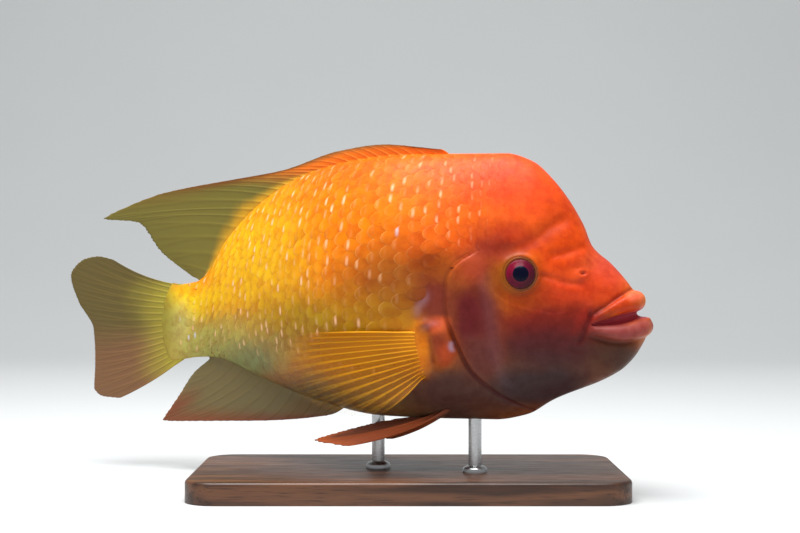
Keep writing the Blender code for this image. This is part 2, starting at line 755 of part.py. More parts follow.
def make_head(materials):
    block = body_loft("head_block", last=HEAD_BLOCK_END)
    stretch = (TRUNK_BLOCK_START, HEAD_BLOCK_END)
    bed_core = body_loft("gill_bed_core", -GILL_COVER_THICKNESS - GAP, False, *stretch)
    cover_core = body_loft("gill_cover_core", -GILL_COVER_THICKNESS, False, *stretch)
    mouth_core = body_loft("mouth_core", -LIP_DEPTH, False, *MOUTH_CORE)
    jaw_gap = side_prism("jaw_gap", grown(jaw_outline(JAW_GAP_LIFT), GAP))
    corner = (MOUTH_CORNER[0] - MOUTH_CORNER_INSET, MOUTH_CORNER[1])
    opening = [*mouth_line(MOUTH_TOP_LIFT), corner, *reversed(mouth_line(MOUTH_BOTTOM_LIFT))]
    mouth_opening = side_prism("mouth_opening", opening)
    boolean(mouth_opening, "DIFFERENCE", mouth_core)
    make_jaw(block, materials)

    head = copy_of(block, "head_solid")
    boolean(head, "INTERSECT", side_prism("head_region", head_outline()))
    boolean(head, "DIFFERENCE", jaw_gap, mouth_opening)
    rims, holes = [lip("upper_lip", UPPER_LIP)], []
    for side, word in ((1, "right"), (-1, "left")):
        make_gill_cover(side, word, cover_core, materials)
        frame = eye_frame(side)
        finish_node(ball("eye_solid_" + word, frame, EYE_RADII), "eye_" + word, materials["eye"])
        rims.append(ring_rim("orbit_" + word, on_skin(side, EYE_CENTRE), EYE_RADIUS + ORBIT_OUT, ORBIT_RIM))
        holes.append(gill_bed(side, word, bed_core))
        holes.append(ball("socket_" + word, frame, [radius + GAP for radius in EYE_RADII]))
        holes.append(ball("nostril_" + word, on_skin(side, NOSTRIL), NOSTRIL_RADII, 10, 6))
    boolean(head, "UNION", *rims)
    boolean(head, "DIFFERENCE", *holes)
    finish_node(head, "head", materials["skin_red"])


def tail_plane(name, shift):
    """A box that holds all behind the end of the dorsal and anal fins."""
    bm = bmesh.new()
    bmesh.ops.create_cube(bm, size=2 * BEYOND_FLANK * MM)
    made = new_object(name, mesh_from(bm, name), helper=True)
    start = head_frame(STALK_CUT + shift, 0.0, STALK_HEIGHT)
    made.matrix_world = start @ Matrix.Translation((BEYOND_FLANK * MM, 0.0, 0.0))
    return made


def make_trunk(materials):
    head_and_gap = side_prism("head_and_gap", grown(head_outline(), GAP))
    behind_trunk = tail_plane("behind_trunk", 0.0)
    trunk = body_loft("trunk_block", first=TRUNK_BLOCK_START)
    boolean(trunk, "DIFFERENCE", head_and_gap, behind_trunk, *rod_sockets())
    finish_node(trunk, "trunk", materials["skin_gold"])
    stalk = body_loft("stalk_block", first=STALK_BLOCK_START)
    boolean(stalk, "INTERSECT", tail_plane("tail_region", GAP))
    finish_node(stalk, "tail_stalk", materials["skin_gold"])


def paint(name, colour, roughness, metallic=0.0):
    material = bpy.data.materials.new(name)
    material.use_nodes = True
    shader = material.node_tree.nodes["Principled BSDF"]
    shader.inputs["Base Color"].default_value = (*colour, 1.0)
    shader.inputs["Roughness"].default_value = roughness
    shader.inputs["Metallic"].default_value = metallic
    return material


def main():
    materials = {
        "skin_red": paint("skin_red", (0.75, 0.12, 0.03), 0.4),
        "skin_gold": paint("skin_gold", (0.85, 0.3, 0.02), 0.4),
        "fin_amber": paint("fin_amber", (0.6, 0.22, 0.01), 0.45),
        "fin_olive": paint("fin_olive", (0.25, 0.17, 0.04), 0.45),
        "eye": paint("eye", (0.1, 0.01, 0.02), 0.1),
        "walnut": paint("walnut", (0.06, 0.03, 0.015), 0.4),
        "steel": paint("steel", (0.6, 0.6, 0.6), 0.3, 1.0),
    }
    make_head(materials)
    make_trunk(materials)
    envelope = body_loft("body_envelope", grow=GAP)
    make_dorsal_fin(envelope, materials["fin_olive"])
    make_anal_fin(envelope, materials["fin_olive"])
    make_caudal_fin(materials["fin_olive"])
    for side in (1, -1):
        make_pectoral_fin(side, envelope, materials["fin_amber"])
        make_pelvic_fin(side, envelope, materials["fin_amber"])
    make_stand(materials)


for leftover in list(bpy.data.objects):
    bpy.data.objects.remove(leftover)
FISH = bpy.data.collections.new("red_devil_cichlid")
HELPERS = bpy.data.collections.new("helpers")
bpy.context.scene.collection.children.link(FISH)
bpy.context.scene.collection.children.link(HELPERS)
main()
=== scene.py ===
import math

import bmesh
import bpy
import numpy as np
from mathutils import Matrix, Vector, noise


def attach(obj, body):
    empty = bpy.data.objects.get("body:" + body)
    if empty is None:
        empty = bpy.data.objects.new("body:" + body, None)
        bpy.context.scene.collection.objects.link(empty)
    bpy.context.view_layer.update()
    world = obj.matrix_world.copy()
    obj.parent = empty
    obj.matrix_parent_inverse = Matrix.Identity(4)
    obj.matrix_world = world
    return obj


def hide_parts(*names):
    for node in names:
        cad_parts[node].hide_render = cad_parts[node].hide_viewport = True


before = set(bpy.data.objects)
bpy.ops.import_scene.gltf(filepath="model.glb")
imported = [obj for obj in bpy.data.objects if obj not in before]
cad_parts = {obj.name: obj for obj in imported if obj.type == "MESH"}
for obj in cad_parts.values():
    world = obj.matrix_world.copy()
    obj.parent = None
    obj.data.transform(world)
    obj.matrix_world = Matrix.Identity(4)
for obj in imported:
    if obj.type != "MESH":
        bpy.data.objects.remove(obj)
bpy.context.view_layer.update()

MM = 0.001

# The view
# A level camera at the height of the gill cover, 0.72 m before the fish's right side, with a short
# telephoto lens, as one looks into a tank. The fish fills three quarters of the picture's width.
camera_data = bpy.data.cameras.new("view")
camera_data.lens = 70.0
camera_data.sensor_width = 36.0
camera = bpy.data.objects.new("view", camera_data)
camera.location = (-0.0037, -0.7200, 0.1030)
camera.rotation_euler = (math.radians(90.0), 0.0, 0.0)
bpy.context.scene.collection.objects.link(camera)
bpy.context.scene.camera = camera
bpy.context.scene.view_settings.view_transform = "Standard"

# The skin
# One unbroken, slimy skin over head, jaws, gill covers, trunk and tail stalk, shaped round the bent spine.
# Lips and eyelids are grown on and all is melted into one surface, on which gill covers and the breast
# fins' fleshy roots are then raised, and into which creases, gill openings and nostrils are pressed.
LENGTH = 247.0
ROOT_END = 258.0  # where the flesh has thinned out on the tail fin
BACK_LINE = [
    (1.5, 81.4), (4.0, 83.4), (6.5, 88.0), (9.0, 92.4), (18.5, 104.0), (27.5, 112.5), (31.0, 121.5),
    (45.0, 142.5), (54.0, 150.5), (66.0, 154.2), (112.0, 154.5), (143.0, 152.5), (172.0, 147.0),
    (200.0, 134.5), (221.0, 117.0), (231.0, 101.5), (238.0, 95.8), (LENGTH, 94.6), (ROOT_END, 96.6),
]
BELLY_LINE = [
    (1.5, 77.5), (4.0, 70.5), (9.0, 62.3), (15.0, 56.6), (45.0, 43.0), (56.0, 36.6), (71.0, 33.8),
    (123.0, 34.0), (162.0, 39.0), (200.0, 48.5), (231.0, 57.6), (238.0, 57.3), (LENGTH, 55.6),
    (ROOT_END, 53.6),
]
HALF_WIDTH = [
    (1.5, 3.5), (4.0, 7.2), (9.0, 10.4), (27.0, 16.2), (60.0, 22.6), (95.0, 26.2), (130.0, 25.0),
    (172.0, 19.0), (212.0, 11.3), (231.0, 8.2), (LENGTH, 4.0), (ROOT_END, 0.6),
]
WAIST_HEIGHT = [(0.0, 80.0), (30.0, 78.0), (60.0, 84.0), (140.0, 92.0), (200.0, 90.0), (LENGTH, 75.0)]
BACK_KEEL = [(0.0, 0.95), (45.0, 0.88), (75.0, 0.92), (110.0, 1.2), (215.0, 1.3), (LENGTH, 1.0)]
BELLY_KEEL = [(0.0, 0.95), (60.0, 1.05), (100.0, 0.85), (150.0, 1.1), (215.0, 1.3), (LENGTH, 1.0)]
UPPER_LIP = [
    (8.2, 0.0, 87.7, 4.7), (9.2, 5.0, 87.5, 4.6), (12.0, 8.8, 86.7, 4.2), (17.5, 11.7, 84.6, 3.5),
    (23.0, 13.9, 81.3, 2.3), (27.0, 15.4, 79.0, 1.3),
]
LOWER_LIP = [
    (4.6, 0.0, 76.4, 4.4), (5.6, 5.0, 76.0, 4.4), (9.5, 8.9, 74.9, 4.2), (14.5, 11.6, 74.0, 3.6),
    (20.5, 13.8, 74.3, 2.8), (26.0, 15.4, 75.0, 1.5),
]
MOUTH_SLIT = [
    (2.0, 0.0, 82.6, 5.4, 2.2), (4.0, 4.8, 82.3, 5.4, 2.3), (8.6, 8.6, 81.3, 5.0, 2.5),
    (15.0, 11.6, 79.7, 4.8, 2.2), (21.5, 14.0, 78.3, 3.8, 1.1), (27.2, 15.9, 77.3, 2.4, 0.4),
]
EYE_CENTRE = (57.3, 99.7)
EYE_RADIUS = 7.0
EYE_DEPTH = 3.0  # of the ball's widest ring under the skin
ORBIT_DOME, ORBIT_DROP = 5.0, 0.9  # the skin's height under the ball, and how far its rim is sunk
FIN_ROOT_CENTRE = (91.0, 68.5)
FIN_ROOT_SIZE = (5.6, 11.0, 2.4)
FIN_CLEFT = [(95.2, 73.5), (94.4, 69.0), (94.0, 63.0), (94.2, 58.0)]
FIN_BASE = [
    (92.0, 78.0), (95.5, 78.2), (98.8, 76.0), (99.2, 72.0), (98.4, 66.0), (98.0, 60.0), (98.2, 55.0),
    (98.8, 52.0),
]
GILL_EDGE = [
    (76.0, 109.3), (83.8, 104.1), (87.8, 95.8), (88.1, 85.0), (83.6, 69.0), (78.0, 57.0), (71.7, 50.7),
    (63.5, 44.8), (55.5, 41.0), (49.0, 39.0),
]
NOSTRIL = (30.6, 99.9)
HEAD_END = 112.0  # behind it the skin has no folds
MOUTH_REAR = 34.0
SCALE_BED = 0.3  # how far the skin is sunk where scales lie on it
SKIN_VOXEL = 0.52
SKIN_TRIANGLES = 186000.0
UPPER_PORES = [(92.0, 112.0), (120.0, 119.0), (150.0, 119.0), (176.0, 112.0)]
LOWER_PORES = [(184.0, 80.0), (205.0, 79.0), (230.0, 76.5), (250.0, 75.0)]


def smooth_step(values, start, end):
    t = np.clip((values - start) / (end - start), 0.0, 1.0)
    return t * t * (3.0 - 2.0 * t)


def along(line, values, column=1):
    """A column of a line at values of its first column, on a smooth curve that never overshoots."""
    xs = np.array([point[0] for point in line], float)
    ys = np.array([point[column] for point in line], float)
    steps = np.diff(xs)
    slopes = np.diff(ys) / steps
    near = steps[:-1] + 2.0 * steps[1:]
    far = 2.0 * steps[:-1] + steps[1:]
    same = slopes[:-1] * slopes[1:] > 0
    fore = np.where(same, slopes[:-1], 1.0)
    rear = np.where(same, slopes[1:], 1.0)
    inner = np.where(same, (near + far) / (near / fore + far / rear), 0.0)
    tangents = np.concatenate([slopes[:1], inner, slopes[-1:]])
    values = np.clip(values, xs[0], xs[-1])
    i = np.clip(np.searchsorted(xs, values, side="right") - 1, 0, len(slopes) - 1)
    t = (values - xs[i]) / steps[i]
    rise = ys[i + 1] - ys[i]
    a, b = tangents[i] * steps[i], tangents[i + 1] * steps[i]
    return ys[i] + t * (a + t * (3.0 * rise - 2.0 * a - b + t * (a + b - 2.0 * rise)))


def turn(back):
    """The spine's angle to the picture's plane at distances back from the snout."""
    return np.radians(10.0 + 28.0 * smooth_step(back, 75.0, 150.0) - 22.0 * smooth_step(back, 190.0, 250.0))


SPINE = np.arange(-20.0, 331.0)
AT_SNOUT = 20
SNOUT_X, SNOUT_Y = 109.0, -30.0
spine_turns = turn(SPINE[:-1] + 0.5)
SPINE_X = np.concatenate([[0.0], np.cumsum(-np.cos(spine_turns))])
SPINE_Y = np.concatenate([[0.0], np.cumsum(np.sin(spine_turns))])
SPINE_X += SNOUT_X - SPINE_X[AT_SNOUT]
SPINE_Y += SNOUT_Y - SPINE_Y[AT_SNOUT]


def place(back, side, height):
    """World points, in metres, of places given back from the snout, out to the right, above the floor."""
    angle = turn(back)
    x = np.interp(back, SPINE, SPINE_X) - side * np.sin(angle)
    y = np.interp(back, SPINE, SPINE_Y) - side * np.cos(angle)
    return np.stack([x, y, height + 0.0 * x], axis=-1) * MM


def lie_of(points):
    """The places on the fish, as back, side and height, of world points."""
    x, y = points[:, 0] / MM, points[:, 1] / MM
    back = np.interp(-x, -SPINE_X, SPINE)
    for step in range(13):  # closes in on the foot of the line from the spine
        angle = turn(back)
        dx, dy = x - np.interp(back, SPINE, SPINE_X), y - np.interp(back, SPINE, SPINE_Y)
        if step < 12:
            back = back - dx * np.cos(angle) + dy * np.sin(angle)
    return np.stack([back, -dx * np.sin(angle) - dy * np.cos(angle), points[:, 2] / MM], axis=-1)


def section(back, around):
    """Side and height of the body's surface, with around 0 on the back and half a turn on the belly."""
    top, bottom = along(BACK_LINE, back), along(BELLY_LINE, back)
    waist, width = along(WAIST_HEIGHT, back), along(HALF_WIDTH, back)
    up, out = np.cos(around), np.sin(around)
    keel = np.where(up > 0, along(BACK_KEEL, back), along(BELLY_KEEL, back))
    height = waist + np.where(up > 0, top - waist, waist - bottom) * up
    return width * np.sign(out) * np.abs(out) ** keel, height


def side_at(back, height):
    """Half width of the body at a distance back and a height."""
    around = np.linspace(0.0, math.pi, 361)
    side, heights = section(np.full_like(around, back), around)
    return float(np.interp(-height, -heights, side))


def wrapped(columns, rows, spot):
    """A closed tube: spot gives world points for shares of its length and angles round it."""
    bm = bmesh.new()
    bmesh.ops.create_grid(bm, x_segments=columns, y_segments=rows, size=0.5)
    shares = np.array([vertex.co[:2] for vertex in bm.verts]) + 0.5
    points = spot(shares[:, 0], shares[:, 1] * 2.0 * math.pi)
    for vertex, point in zip(bm.verts, points):
        vertex.co = point
    bmesh.ops.remove_doubles(bm, verts=bm.verts, dist=1e-6)
    bmesh.ops.holes_fill(bm, edges=[edge for edge in bm.edges if edge.is_boundary])
    bmesh.ops.recalc_face_normals(bm, faces=bm.faces)
    return bm


def body_spot(share, around):
    """The body's surface, with closer rings on the head and a rear end that is shorter above and below."""
    start = BACK_LINE[0][0]
    back = start + (ROOT_END - 6.0 * np.cos(around) ** 2 - start) * share ** 1.25
    side, height = section(back, around)
    return place(back, side, height)


def lip_spot(half):
    """A lip or slit that runs from one corner of the mouth round the front to the other."""
    line = [(i, *point) for i, point in enumerate(half)]
    last = len(line) - 1

    def middle(share):
        run = 2.0 * share - 1.0
        at = np.abs(run) * last
        return place(along(line, at), np.sign(run) * along(line, at, 2), along(line, at, 3))

    def spot(share, around):
        at = np.abs(2.0 * share - 1.0) * last
        run = middle(np.minimum(share + 0.01, 1.0)) - middle(np.maximum(share - 0.01, 0.0))
        out = np.stack([run[:, 1], -run[:, 0], 0.0 * run[:, 0]], axis=-1)
        out /= np.linalg.norm(out, axis=1)[:, None]
        across, upright = along(line, at, 4), along(line, at, len(half[0]))
        rise = np.array([0.0, 0.0, 1.0])
        return (
            middle(share)
            + out * (across * np.cos(around))[:, None] * MM
            + rise * (upright * np.sin(around))[:, None] * MM
        )

    return spot


def eye_frame(side):
    """Origin in the eye's middle, X back along the skin, Y up along it and Z out of it."""
    back, height = EYE_CENTRE

    def on_skin(behind, above):
        out = side * side_at(back + behind, height + above)
        return Vector(place(back + behind, out, height + above))

    rearward = (on_skin(6.0, 0.0) - on_skin(-6.0, 0.0)).normalized()
    upward = (on_skin(0.0, 6.0) - on_skin(0.0, -6.0)).normalized()
    outward = upward.cross(rearward).normalized() * side
    upward = (upward - rearward * upward.dot(rearward)).normalized()
    axes = Matrix((rearward, upward, outward)).transposed()
    return Matrix.Translation(on_skin(0.0, 0.0) - outward * EYE_DEPTH * MM) @ axes.to_4x4()


def moved(points, matrix):
    matrix = np.array(matrix)
    return points @ matrix[:3, :3].T + matrix[:3, 3]


def eyelid_spot(side, out=1.1, up=2.5, thick=1.0):
    """A ring of skin round the eye, out from its edge and up from its middle plane."""

    def spot(share, around):
        radius, turned = EYE_RADIUS + out + thick * np.cos(around), share * 2.0 * math.pi
        ring = [radius * np.cos(turned), radius * np.sin(turned), up + thick * np.sin(around)]
        return moved(np.stack(ring, axis=-1) * MM, eye_frame(side))

    return spot


def new_piece(name, mesh):
    made = bpy.data.objects.new(name, mesh)
    bpy.context.scene.collection.objects.link(made)
    return made


def settled(bm, name):
    mesh = bpy.data.meshes.new(name)
    bm.to_mesh(mesh)
    bm.free()
    mesh.shade_smooth()
    return mesh


def finished(piece, kind, **settings):
    """Applies one modifier to a piece's mesh."""
    modifier = piece.modifiers.new(kind.title(), kind)
    for name, value in settings.items():
        setattr(modifier, name, value)
    graph = bpy.context.evaluated_depsgraph_get()
    mesh = bpy.data.meshes.new_from_object(
        piece.evaluated_get(graph), preserve_all_data_layers=True, depsgraph=graph
    )
    piece.modifiers.clear()
    piece.data = mesh
    mesh.shade_smooth()
    return mesh


def points_of(mesh):
    points = np.empty(len(mesh.vertices) * 3)
    mesh.vertices.foreach_get("co", points)
    return points.reshape(-1, 3)


def normals_of(mesh):
    normals = np.empty(len(mesh.vertices) * 3, np.float32)
    mesh.vertex_normals.foreach_get("vector", normals)
    return normals.reshape(-1, 3).astype(float)


def move_points(mesh, points):
    mesh.vertices.foreach_set("co", np.asarray(points, np.float32).ravel())
    mesh.update()


def keep_values(mesh, name, *values):
    """Keeps three values at each point of a mesh for its material to read."""
    layer = mesh.attributes.new(name, "FLOAT_VECTOR", "POINT")
    layer.data.foreach_set("vector", np.stack(values, axis=-1).astype(np.float32).ravel())


def keep_lie(mesh):
    """Keeps the place on the fish at each point of a mesh and gives its columns."""
    back, side, height = lie_of(points_of(mesh)).T
    keep_values(mesh, "lie", back, np.abs(side), height)
    return back, side, height


def side_line(line, steps=28):
    """A smooth side-view line as many short stretches."""
    indexed = [(i, *point) for i, point in enumerate(line)]
    at = np.linspace(0, len(line) - 1, steps)
    return np.stack([along(indexed, at, 1), along(indexed, at, 2)], axis=-1)


def from_line(line, back, height, fade=0.15):
    """Distance from a side-view line, positive behind one that runs down, and a share that ends fade by."""
    nearest = np.full(back.shape, 1e9)
    signed = np.full(back.shape, 1e9)
    share = np.zeros(back.shape)
    points = side_line(line)
    for i, (a, b) in enumerate(zip(points, points[1:])):
        run = b - a
        t = np.clip(((back - a[0]) * run[0] + (height - a[1]) * run[1]) / (run @ run), 0.0, 1.0)
        dx, dz = back - a[0] - t * run[0], height - a[1] - t * run[1]
        far = np.hypot(dx, dz)
        closer = far < nearest
        cross = run[0] * (height - a[1]) - run[1] * (back - a[0])
        nearest = np.where(closer, far, nearest)
        signed = np.where(closer, np.copysign(far, cross), signed)
        share = np.where(closer, (i + t) / (len(points) - 1), share)
    return signed, smooth_step(np.minimum(share, 1.0 - share), 0.0, fade)


def bell(values, width, middle=0.0):
    return np.exp(-(((values - middle) / width) ** 2))


# Creases on the head: line, half width, depth, height of the fold beside it, darkness of the shade painted
# into it
CREASES = {
    "brow": (
        [(69.1, 108.6), (61.5, 110.5), (53.5, 113.3), (46.3, 119.3), (40.7, 122.6), (35.1, 125.4)],
        2.8, 0.8, 0.3, 0.1,
    ),
    "notch": ([(45.9, 107.7), (40.3, 108.5), (33.9, 110.7), (29.0, 112.4)], 2.0, 0.6, 0.25, 0.15),
    "fold": ([(50.5, 99.5), (45.0, 98.6), (40.0, 96.9), (34.0, 95.8), (28.5, 95.6)], 1.4, 0.5, 0.25, 0.25),
    "lip_top": (
        [(26.2, 81.6), (24.4, 83.5), (21.1, 85.4), (15.5, 89.4), (11.0, 92.4), (8.4, 93.8)],
        0.9, 0.7, 0.2, 0.5,
    ),
    "cheek_fold": (
        [(26.3, 84.2), (27.4, 80.5), (29.0, 76.5), (30.6, 72.0), (32.5, 69.0)], 1.3, 1.0, 0.4, 0.75,
    ),
    "lip_low": ([(29.5, 72.4), (22.0, 70.6), (14.0, 69.4), (7.0, 70.6)], 1.1, 0.6, 0.2, 0.3),
    "jaw": ([(29.0, 66.5), (33.0, 66.0), (37.0, 67.5)], 0.9, 0.35, 0.1, 0.1),
    "cheek_rear": (
        [(72.5, 105.0), (70.5, 94.0), (69.1, 83.0), (67.6, 72.0), (66.2, 64.0), (64.0, 55.0), (58.0, 48.5)],
        1.3, 0.55, 0.2, 0.1,
    ),
}
# Swellings of cheek, mouth corner, gill cover and nostril: back, height, reach back and up, rise
SWELLINGS = [
    (46.0, 79.0, 15.0, 15.0, 0.5), (27.3, 85.2, 1.6, 1.6, 0.5), (84.5, 92.0, 2.6, 11.0, 0.5),
    (31.5, 98.5, 3.4, 2.8, 0.7),
]
# Dark and pale lines: line, fade at its ends, half width, how far beside the line, strength
DARK_LINES = [
    (UPPER_PORES, 0.15, 1.6, 0.0, 0.22),
    (LOWER_PORES, 0.15, 1.6, 0.0, 0.22),
    # painted shade in the cleft beside the breast fin's fleshy root
    (FIN_CLEFT, 0.3, 1.2, 0.0, 0.55),
]
PALE_LINES = [
    (CREASES["cheek_rear"][0], 0.15, 3.0, 1.5, 0.07),
    # painted highlights: a crescent on the shoulder behind the gill opening, and an arc along the top of
    # the breast fin's fleshy root
    ([(94.5, 93.5), (96.7, 88.2), (99.1, 84.7), (99.9, 78.6)], 0.3, 1.5, 0.0, 0.3),
    ([(98.0, 73.0), (95.8, 76.6), (92.5, 78.2), (89.0, 76.8)], 0.4, 1.3, 0.0, 0.2),
    ([(85.9, 71.0), (86.6, 67.9), (85.4, 65.0)], 0.3, 0.9, 0.0, 1.0),
]


def gill_distance(back, height):
    return from_line(GILL_EDGE, back, height, 0.06)


def nostril_distance(back, height):
    return np.hypot((back - NOSTRIL[0]) / 1.5, height - NOSTRIL[1])


def fin_root_distance(back, height):
    """Distance from the middle of the breast fin's fleshy root, 1 at its edge."""
    across, up = FIN_ROOT_SIZE[:2]
    return np.hypot((back - FIN_ROOT_CENTRE[0]) / across, (height - FIN_ROOT_CENTRE[1]) / up)


def relief(back, height):
    """How far the skin stands out from the plain body, in millimetres."""
    out = np.zeros(back.shape)
    for line, width, depth, fold, _ in CREASES.values():
        off, ends = from_line(line, back, height)
        out -= ends * depth * bell(off, width)
        out += ends * fold * bell(off, 1.4 * width, 2.4 * width)
    off, ends = gill_distance(back, height)
    upright = smooth_step(height, 40.0, 60.0) * (1.0 - smooth_step(height, 104.0, 112.0))
    cover = 1.3 * smooth_step(back, 66.0, 84.0) * upright + 0.35 * ends
    out += cover * (1.0 - smooth_step(off, -0.3, 0.8))
    low = 1.0 - 0.6 * smooth_step(height, 72.0, 92.0)
    out -= 0.8 * low * ends * bell(off, 0.8, 1.1)
    for at_back, at_height, reach_back, reach_up, rise in SWELLINGS:
        out += rise * np.exp(-((back - at_back) / reach_back) ** 2 - ((height - at_height) / reach_up) ** 2)
    hole = nostril_distance(back, height)
    out += 0.2 * bell(hole, 0.7, 1.5) - bell(hole, 0.7)
    root = fin_root_distance(back, height)
    out += FIN_ROOT_SIZE[2] * (1.0 - smooth_step(root, 0.45, 1.25)) * smooth_step(off, -0.5, 2.5)
    off, ends = from_line(FIN_BASE, back, height, 0.2)
    out += 2.0 * ends * bell(off, 2.3)
    off, ends = from_line(FIN_CLEFT, back, height, 0.3)
    return out - 0.9 * ends * bell(off, 1.2)


def marks_of(back, side, height):
    """Shares of painted dark, pale marks and inside of the mouth at places on the fish: the dark is painted
    shade in creases, gill openings, nostrils and the breast fin's cleft, with the real dark pores; the pale
    is partly painted highlight.
    """
    dark, pale, inside = np.zeros((3, *back.shape))
    for line, width, _, _, shade in CREASES.values():
        off, ends = from_line(line, back, height)
        dark = np.maximum(dark, ends * shade * bell(off, 0.9 * width))
    # painted shade in the gill opening, weaker high up, and in the nostril
    off, ends = gill_distance(back, height)
    low = 1.0 - 0.8 * smooth_step(height, 66.0, 86.0)
    dark = np.maximum(dark, 0.8 * low * ends * bell(off, 0.8, 1.1))
    dark = np.maximum(dark, 0.35 * bell(nostril_distance(back, height), 0.8))
    for shares, lines in ((dark, DARK_LINES), (pale, PALE_LINES)):
        for line, fade, width, beside, strength in lines:
            off, ends = from_line(line, back, height, fade)
            np.maximum(shares, strength * ends * bell(off, width, beside), out=shares)
    front = back < MOUTH_REAR
    line = [(i, *point) for i, point in enumerate(MOUTH_SLIT)]
    at = np.linspace(0.0, len(MOUTH_SLIT) - 1.0, 60)
    path = np.stack([along(line, at, column) for column in range(1, 6)], axis=-1)
    b, q, z = back[front], np.abs(side[front]), height[front]
    apart = np.hypot(b[:, None] - path[None, :, 0], q[:, None] - path[None, :, 1])
    i = apart.argmin(axis=1)
    inward = (b - path[i, 0]) * 0.75 - (q - path[i, 1]) * 0.65
    within = 1.0 - smooth_step(np.abs(z - path[i, 2]) / (path[i, 4] + 0.5), 0.8, 1.2)
    within *= 1.0 - smooth_step(apart.min(axis=1), path[i, 3] + 0.4, path[i, 3] + 1.4)
    inside[front] = within * smooth_step(inward, -0.8, 1.4) * smooth_step(path[i, 4], 0.35, 0.8)
    return dark, pale, inside


skin = new_piece("skin", settled(wrapped(170, 144, body_spot), "skin"))
slit = new_piece("slit", settled(wrapped(72, 20, lip_spot(MOUTH_SLIT)), "slit"))
finished(skin, "BOOLEAN", operation="DIFFERENCE", solver="EXACT", use_self=True, object=slit)
bpy.data.objects.remove(slit)
grown = bmesh.new()
grown.from_mesh(skin.data)
for columns, rows, spot in (
    (72, 24, lip_spot(UPPER_LIP)),
    (72, 24, lip_spot(LOWER_LIP)),
    (64, 16, eyelid_spot(1)),
    (64, 16, eyelid_spot(-1)),
):
    grown.from_mesh(settled(wrapped(columns, rows, spot), "extra"))
skin.data = settled(grown, "skin")
finished(skin, "REMESH", mode="VOXEL", voxel_size=SKIN_VOXEL * MM)
mesh = finished(skin, "SMOOTH", factor=0.5, iterations=10)
points = points_of(mesh)
back, side, height = lie_of(points).T
press = np.zeros(len(points))
near = back < HEAD_END
press[near] = relief(back[near], height[near])
press = press * smooth_step(np.abs(side), 1.0, 5.0) - SCALE_BED * smooth_step(back, 50.0, 84.0)
move_points(mesh, points + normals_of(mesh) * press[:, None] * MM)
for hand in (1, -1):  # the skin under each eyeball is pushed down, clear of the ball
    points = points_of(mesh)
    local = moved(points, eye_frame(hand).inverted()) / MM
    reach = np.hypot(local[:, 0], local[:, 1]) / (EYE_RADIUS + 0.3)
    inner = (reach < 1.0) & (local[:, 2] > -6.0)
    sunk = np.sqrt(np.clip(1.0 - reach ** 2, 0.0, 1.0)) * ORBIT_DOME - ORBIT_DROP
    local[inner, 2] = np.minimum(local[inner, 2], sunk[inner])
    points[inner] = moved(local[inner] * MM, eye_frame(hand))
    move_points(mesh, points)
mesh = finished(skin, "DECIMATE", ratio=min(1.0, SKIN_TRIANGLES / (2.0 * len(mesh.polygons))))
keep_values(mesh, "marks", *marks_of(*keep_lie(mesh)))
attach(skin, "root")
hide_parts("head", "lower_jaw", "gill_cover_right", "gill_cover_left", "trunk", "tail_stalk")


def swatch(red, green, blue):
    """A colour as a painter's swatch of 0 to 255 a channel, made linear."""
    channels = [value / 255.0 for value in (red, green, blue)]
    return (*[c / 12.92 if c <= 0.04045 else ((c + 0.055) / 1.055) ** 2.4 for c in channels], 1.0)


def fed(tree, node, inputs):
    """Gives inputs of a node their values or links."""
    for socket, value in inputs.items():
        if isinstance(value, bpy.types.NodeSocket):
            tree.links.new(value, node.inputs[socket])
        else:
            node.inputs[socket].default_value = value
    return node


def wired(tree, kind, inputs=None, **settings):
    """Adds a node with its settings and inputs."""
    made = tree.nodes.new(kind)
    for name, value in settings.items():
        setattr(made, name, value)
    return fed(tree, made, inputs or {})


def mixed(tree, share, one, other, blend="MIX"):
    made = wired(tree, "ShaderNodeMix", {0: share, 6: one, 7: other}, data_type="RGBA", blend_type=blend)
    return made.outputs[2]


def ranged(tree, value, start, end, low=0.0, high=1.0):
    inputs = {0: value, 1: start, 2: end, 3: low, 4: high}
    return wired(tree, "ShaderNodeMapRange", inputs, interpolation_type="SMOOTHSTEP").outputs[0]


def summed(tree, operation, one, other=0.0):
    return wired(tree, "ShaderNodeMath", {0: one, 1: other}, operation=operation).outputs[0]


def times(tree, *values):
    product = values[0]
    for value in values[1:]:
        product = summed(tree, "MULTIPLY", product, value)
    return product


def vectored(tree, operation, one, other=None):
    """One or two vectors put through an operation, a value where it gives one."""
    inputs = {0: one} if other is None else {0: one, 1: other}
    gives = "Value" if operation in ("LENGTH", "DISTANCE", "DOT_PRODUCT") else "Vector"
    return wired(tree, "ShaderNodeVectorMath", inputs, operation=operation).outputs[gives]


def bumped(tree, height, strength, distance=0.0001, **settings):
    inputs = {"Strength": strength, "Distance": distance, "Height": height}
    return wired(tree, "ShaderNodeBump", inputs, **settings).outputs[0]


def kept(tree, name):
    return wired(tree, "ShaderNodeAttribute", attribute_name=name).outputs["Vector"]


def split(tree, vector):
    return wired(tree, "ShaderNodeSeparateXYZ", {0: vector}).outputs


def clouds(tree, vector, scale, detail=2.0, roughness=0.5):
    inputs = {"Vector": vector, "Scale": scale, "Detail": detail, "Roughness": roughness}
    return wired(tree, "ShaderNodeTexNoise", inputs).outputs["Fac"]


def object_place(tree):
    return wired(tree, "ShaderNodeTexCoord").outputs["Object"]


def new_group(name, inputs, outputs):
    group = bpy.data.node_groups.new(name, "ShaderNodeTree")
    for way, sockets in (("INPUT", inputs), ("OUTPUT", outputs)):
        for title, kind in sockets.items():
            group.interface.new_socket(title, in_out=way, socket_type=kind)
    return group


def new_material(name):
    material = bpy.data.materials.new(name)
    material.use_nodes = True
    return material, material.node_tree, material.node_tree.nodes["Principled BSDF"]
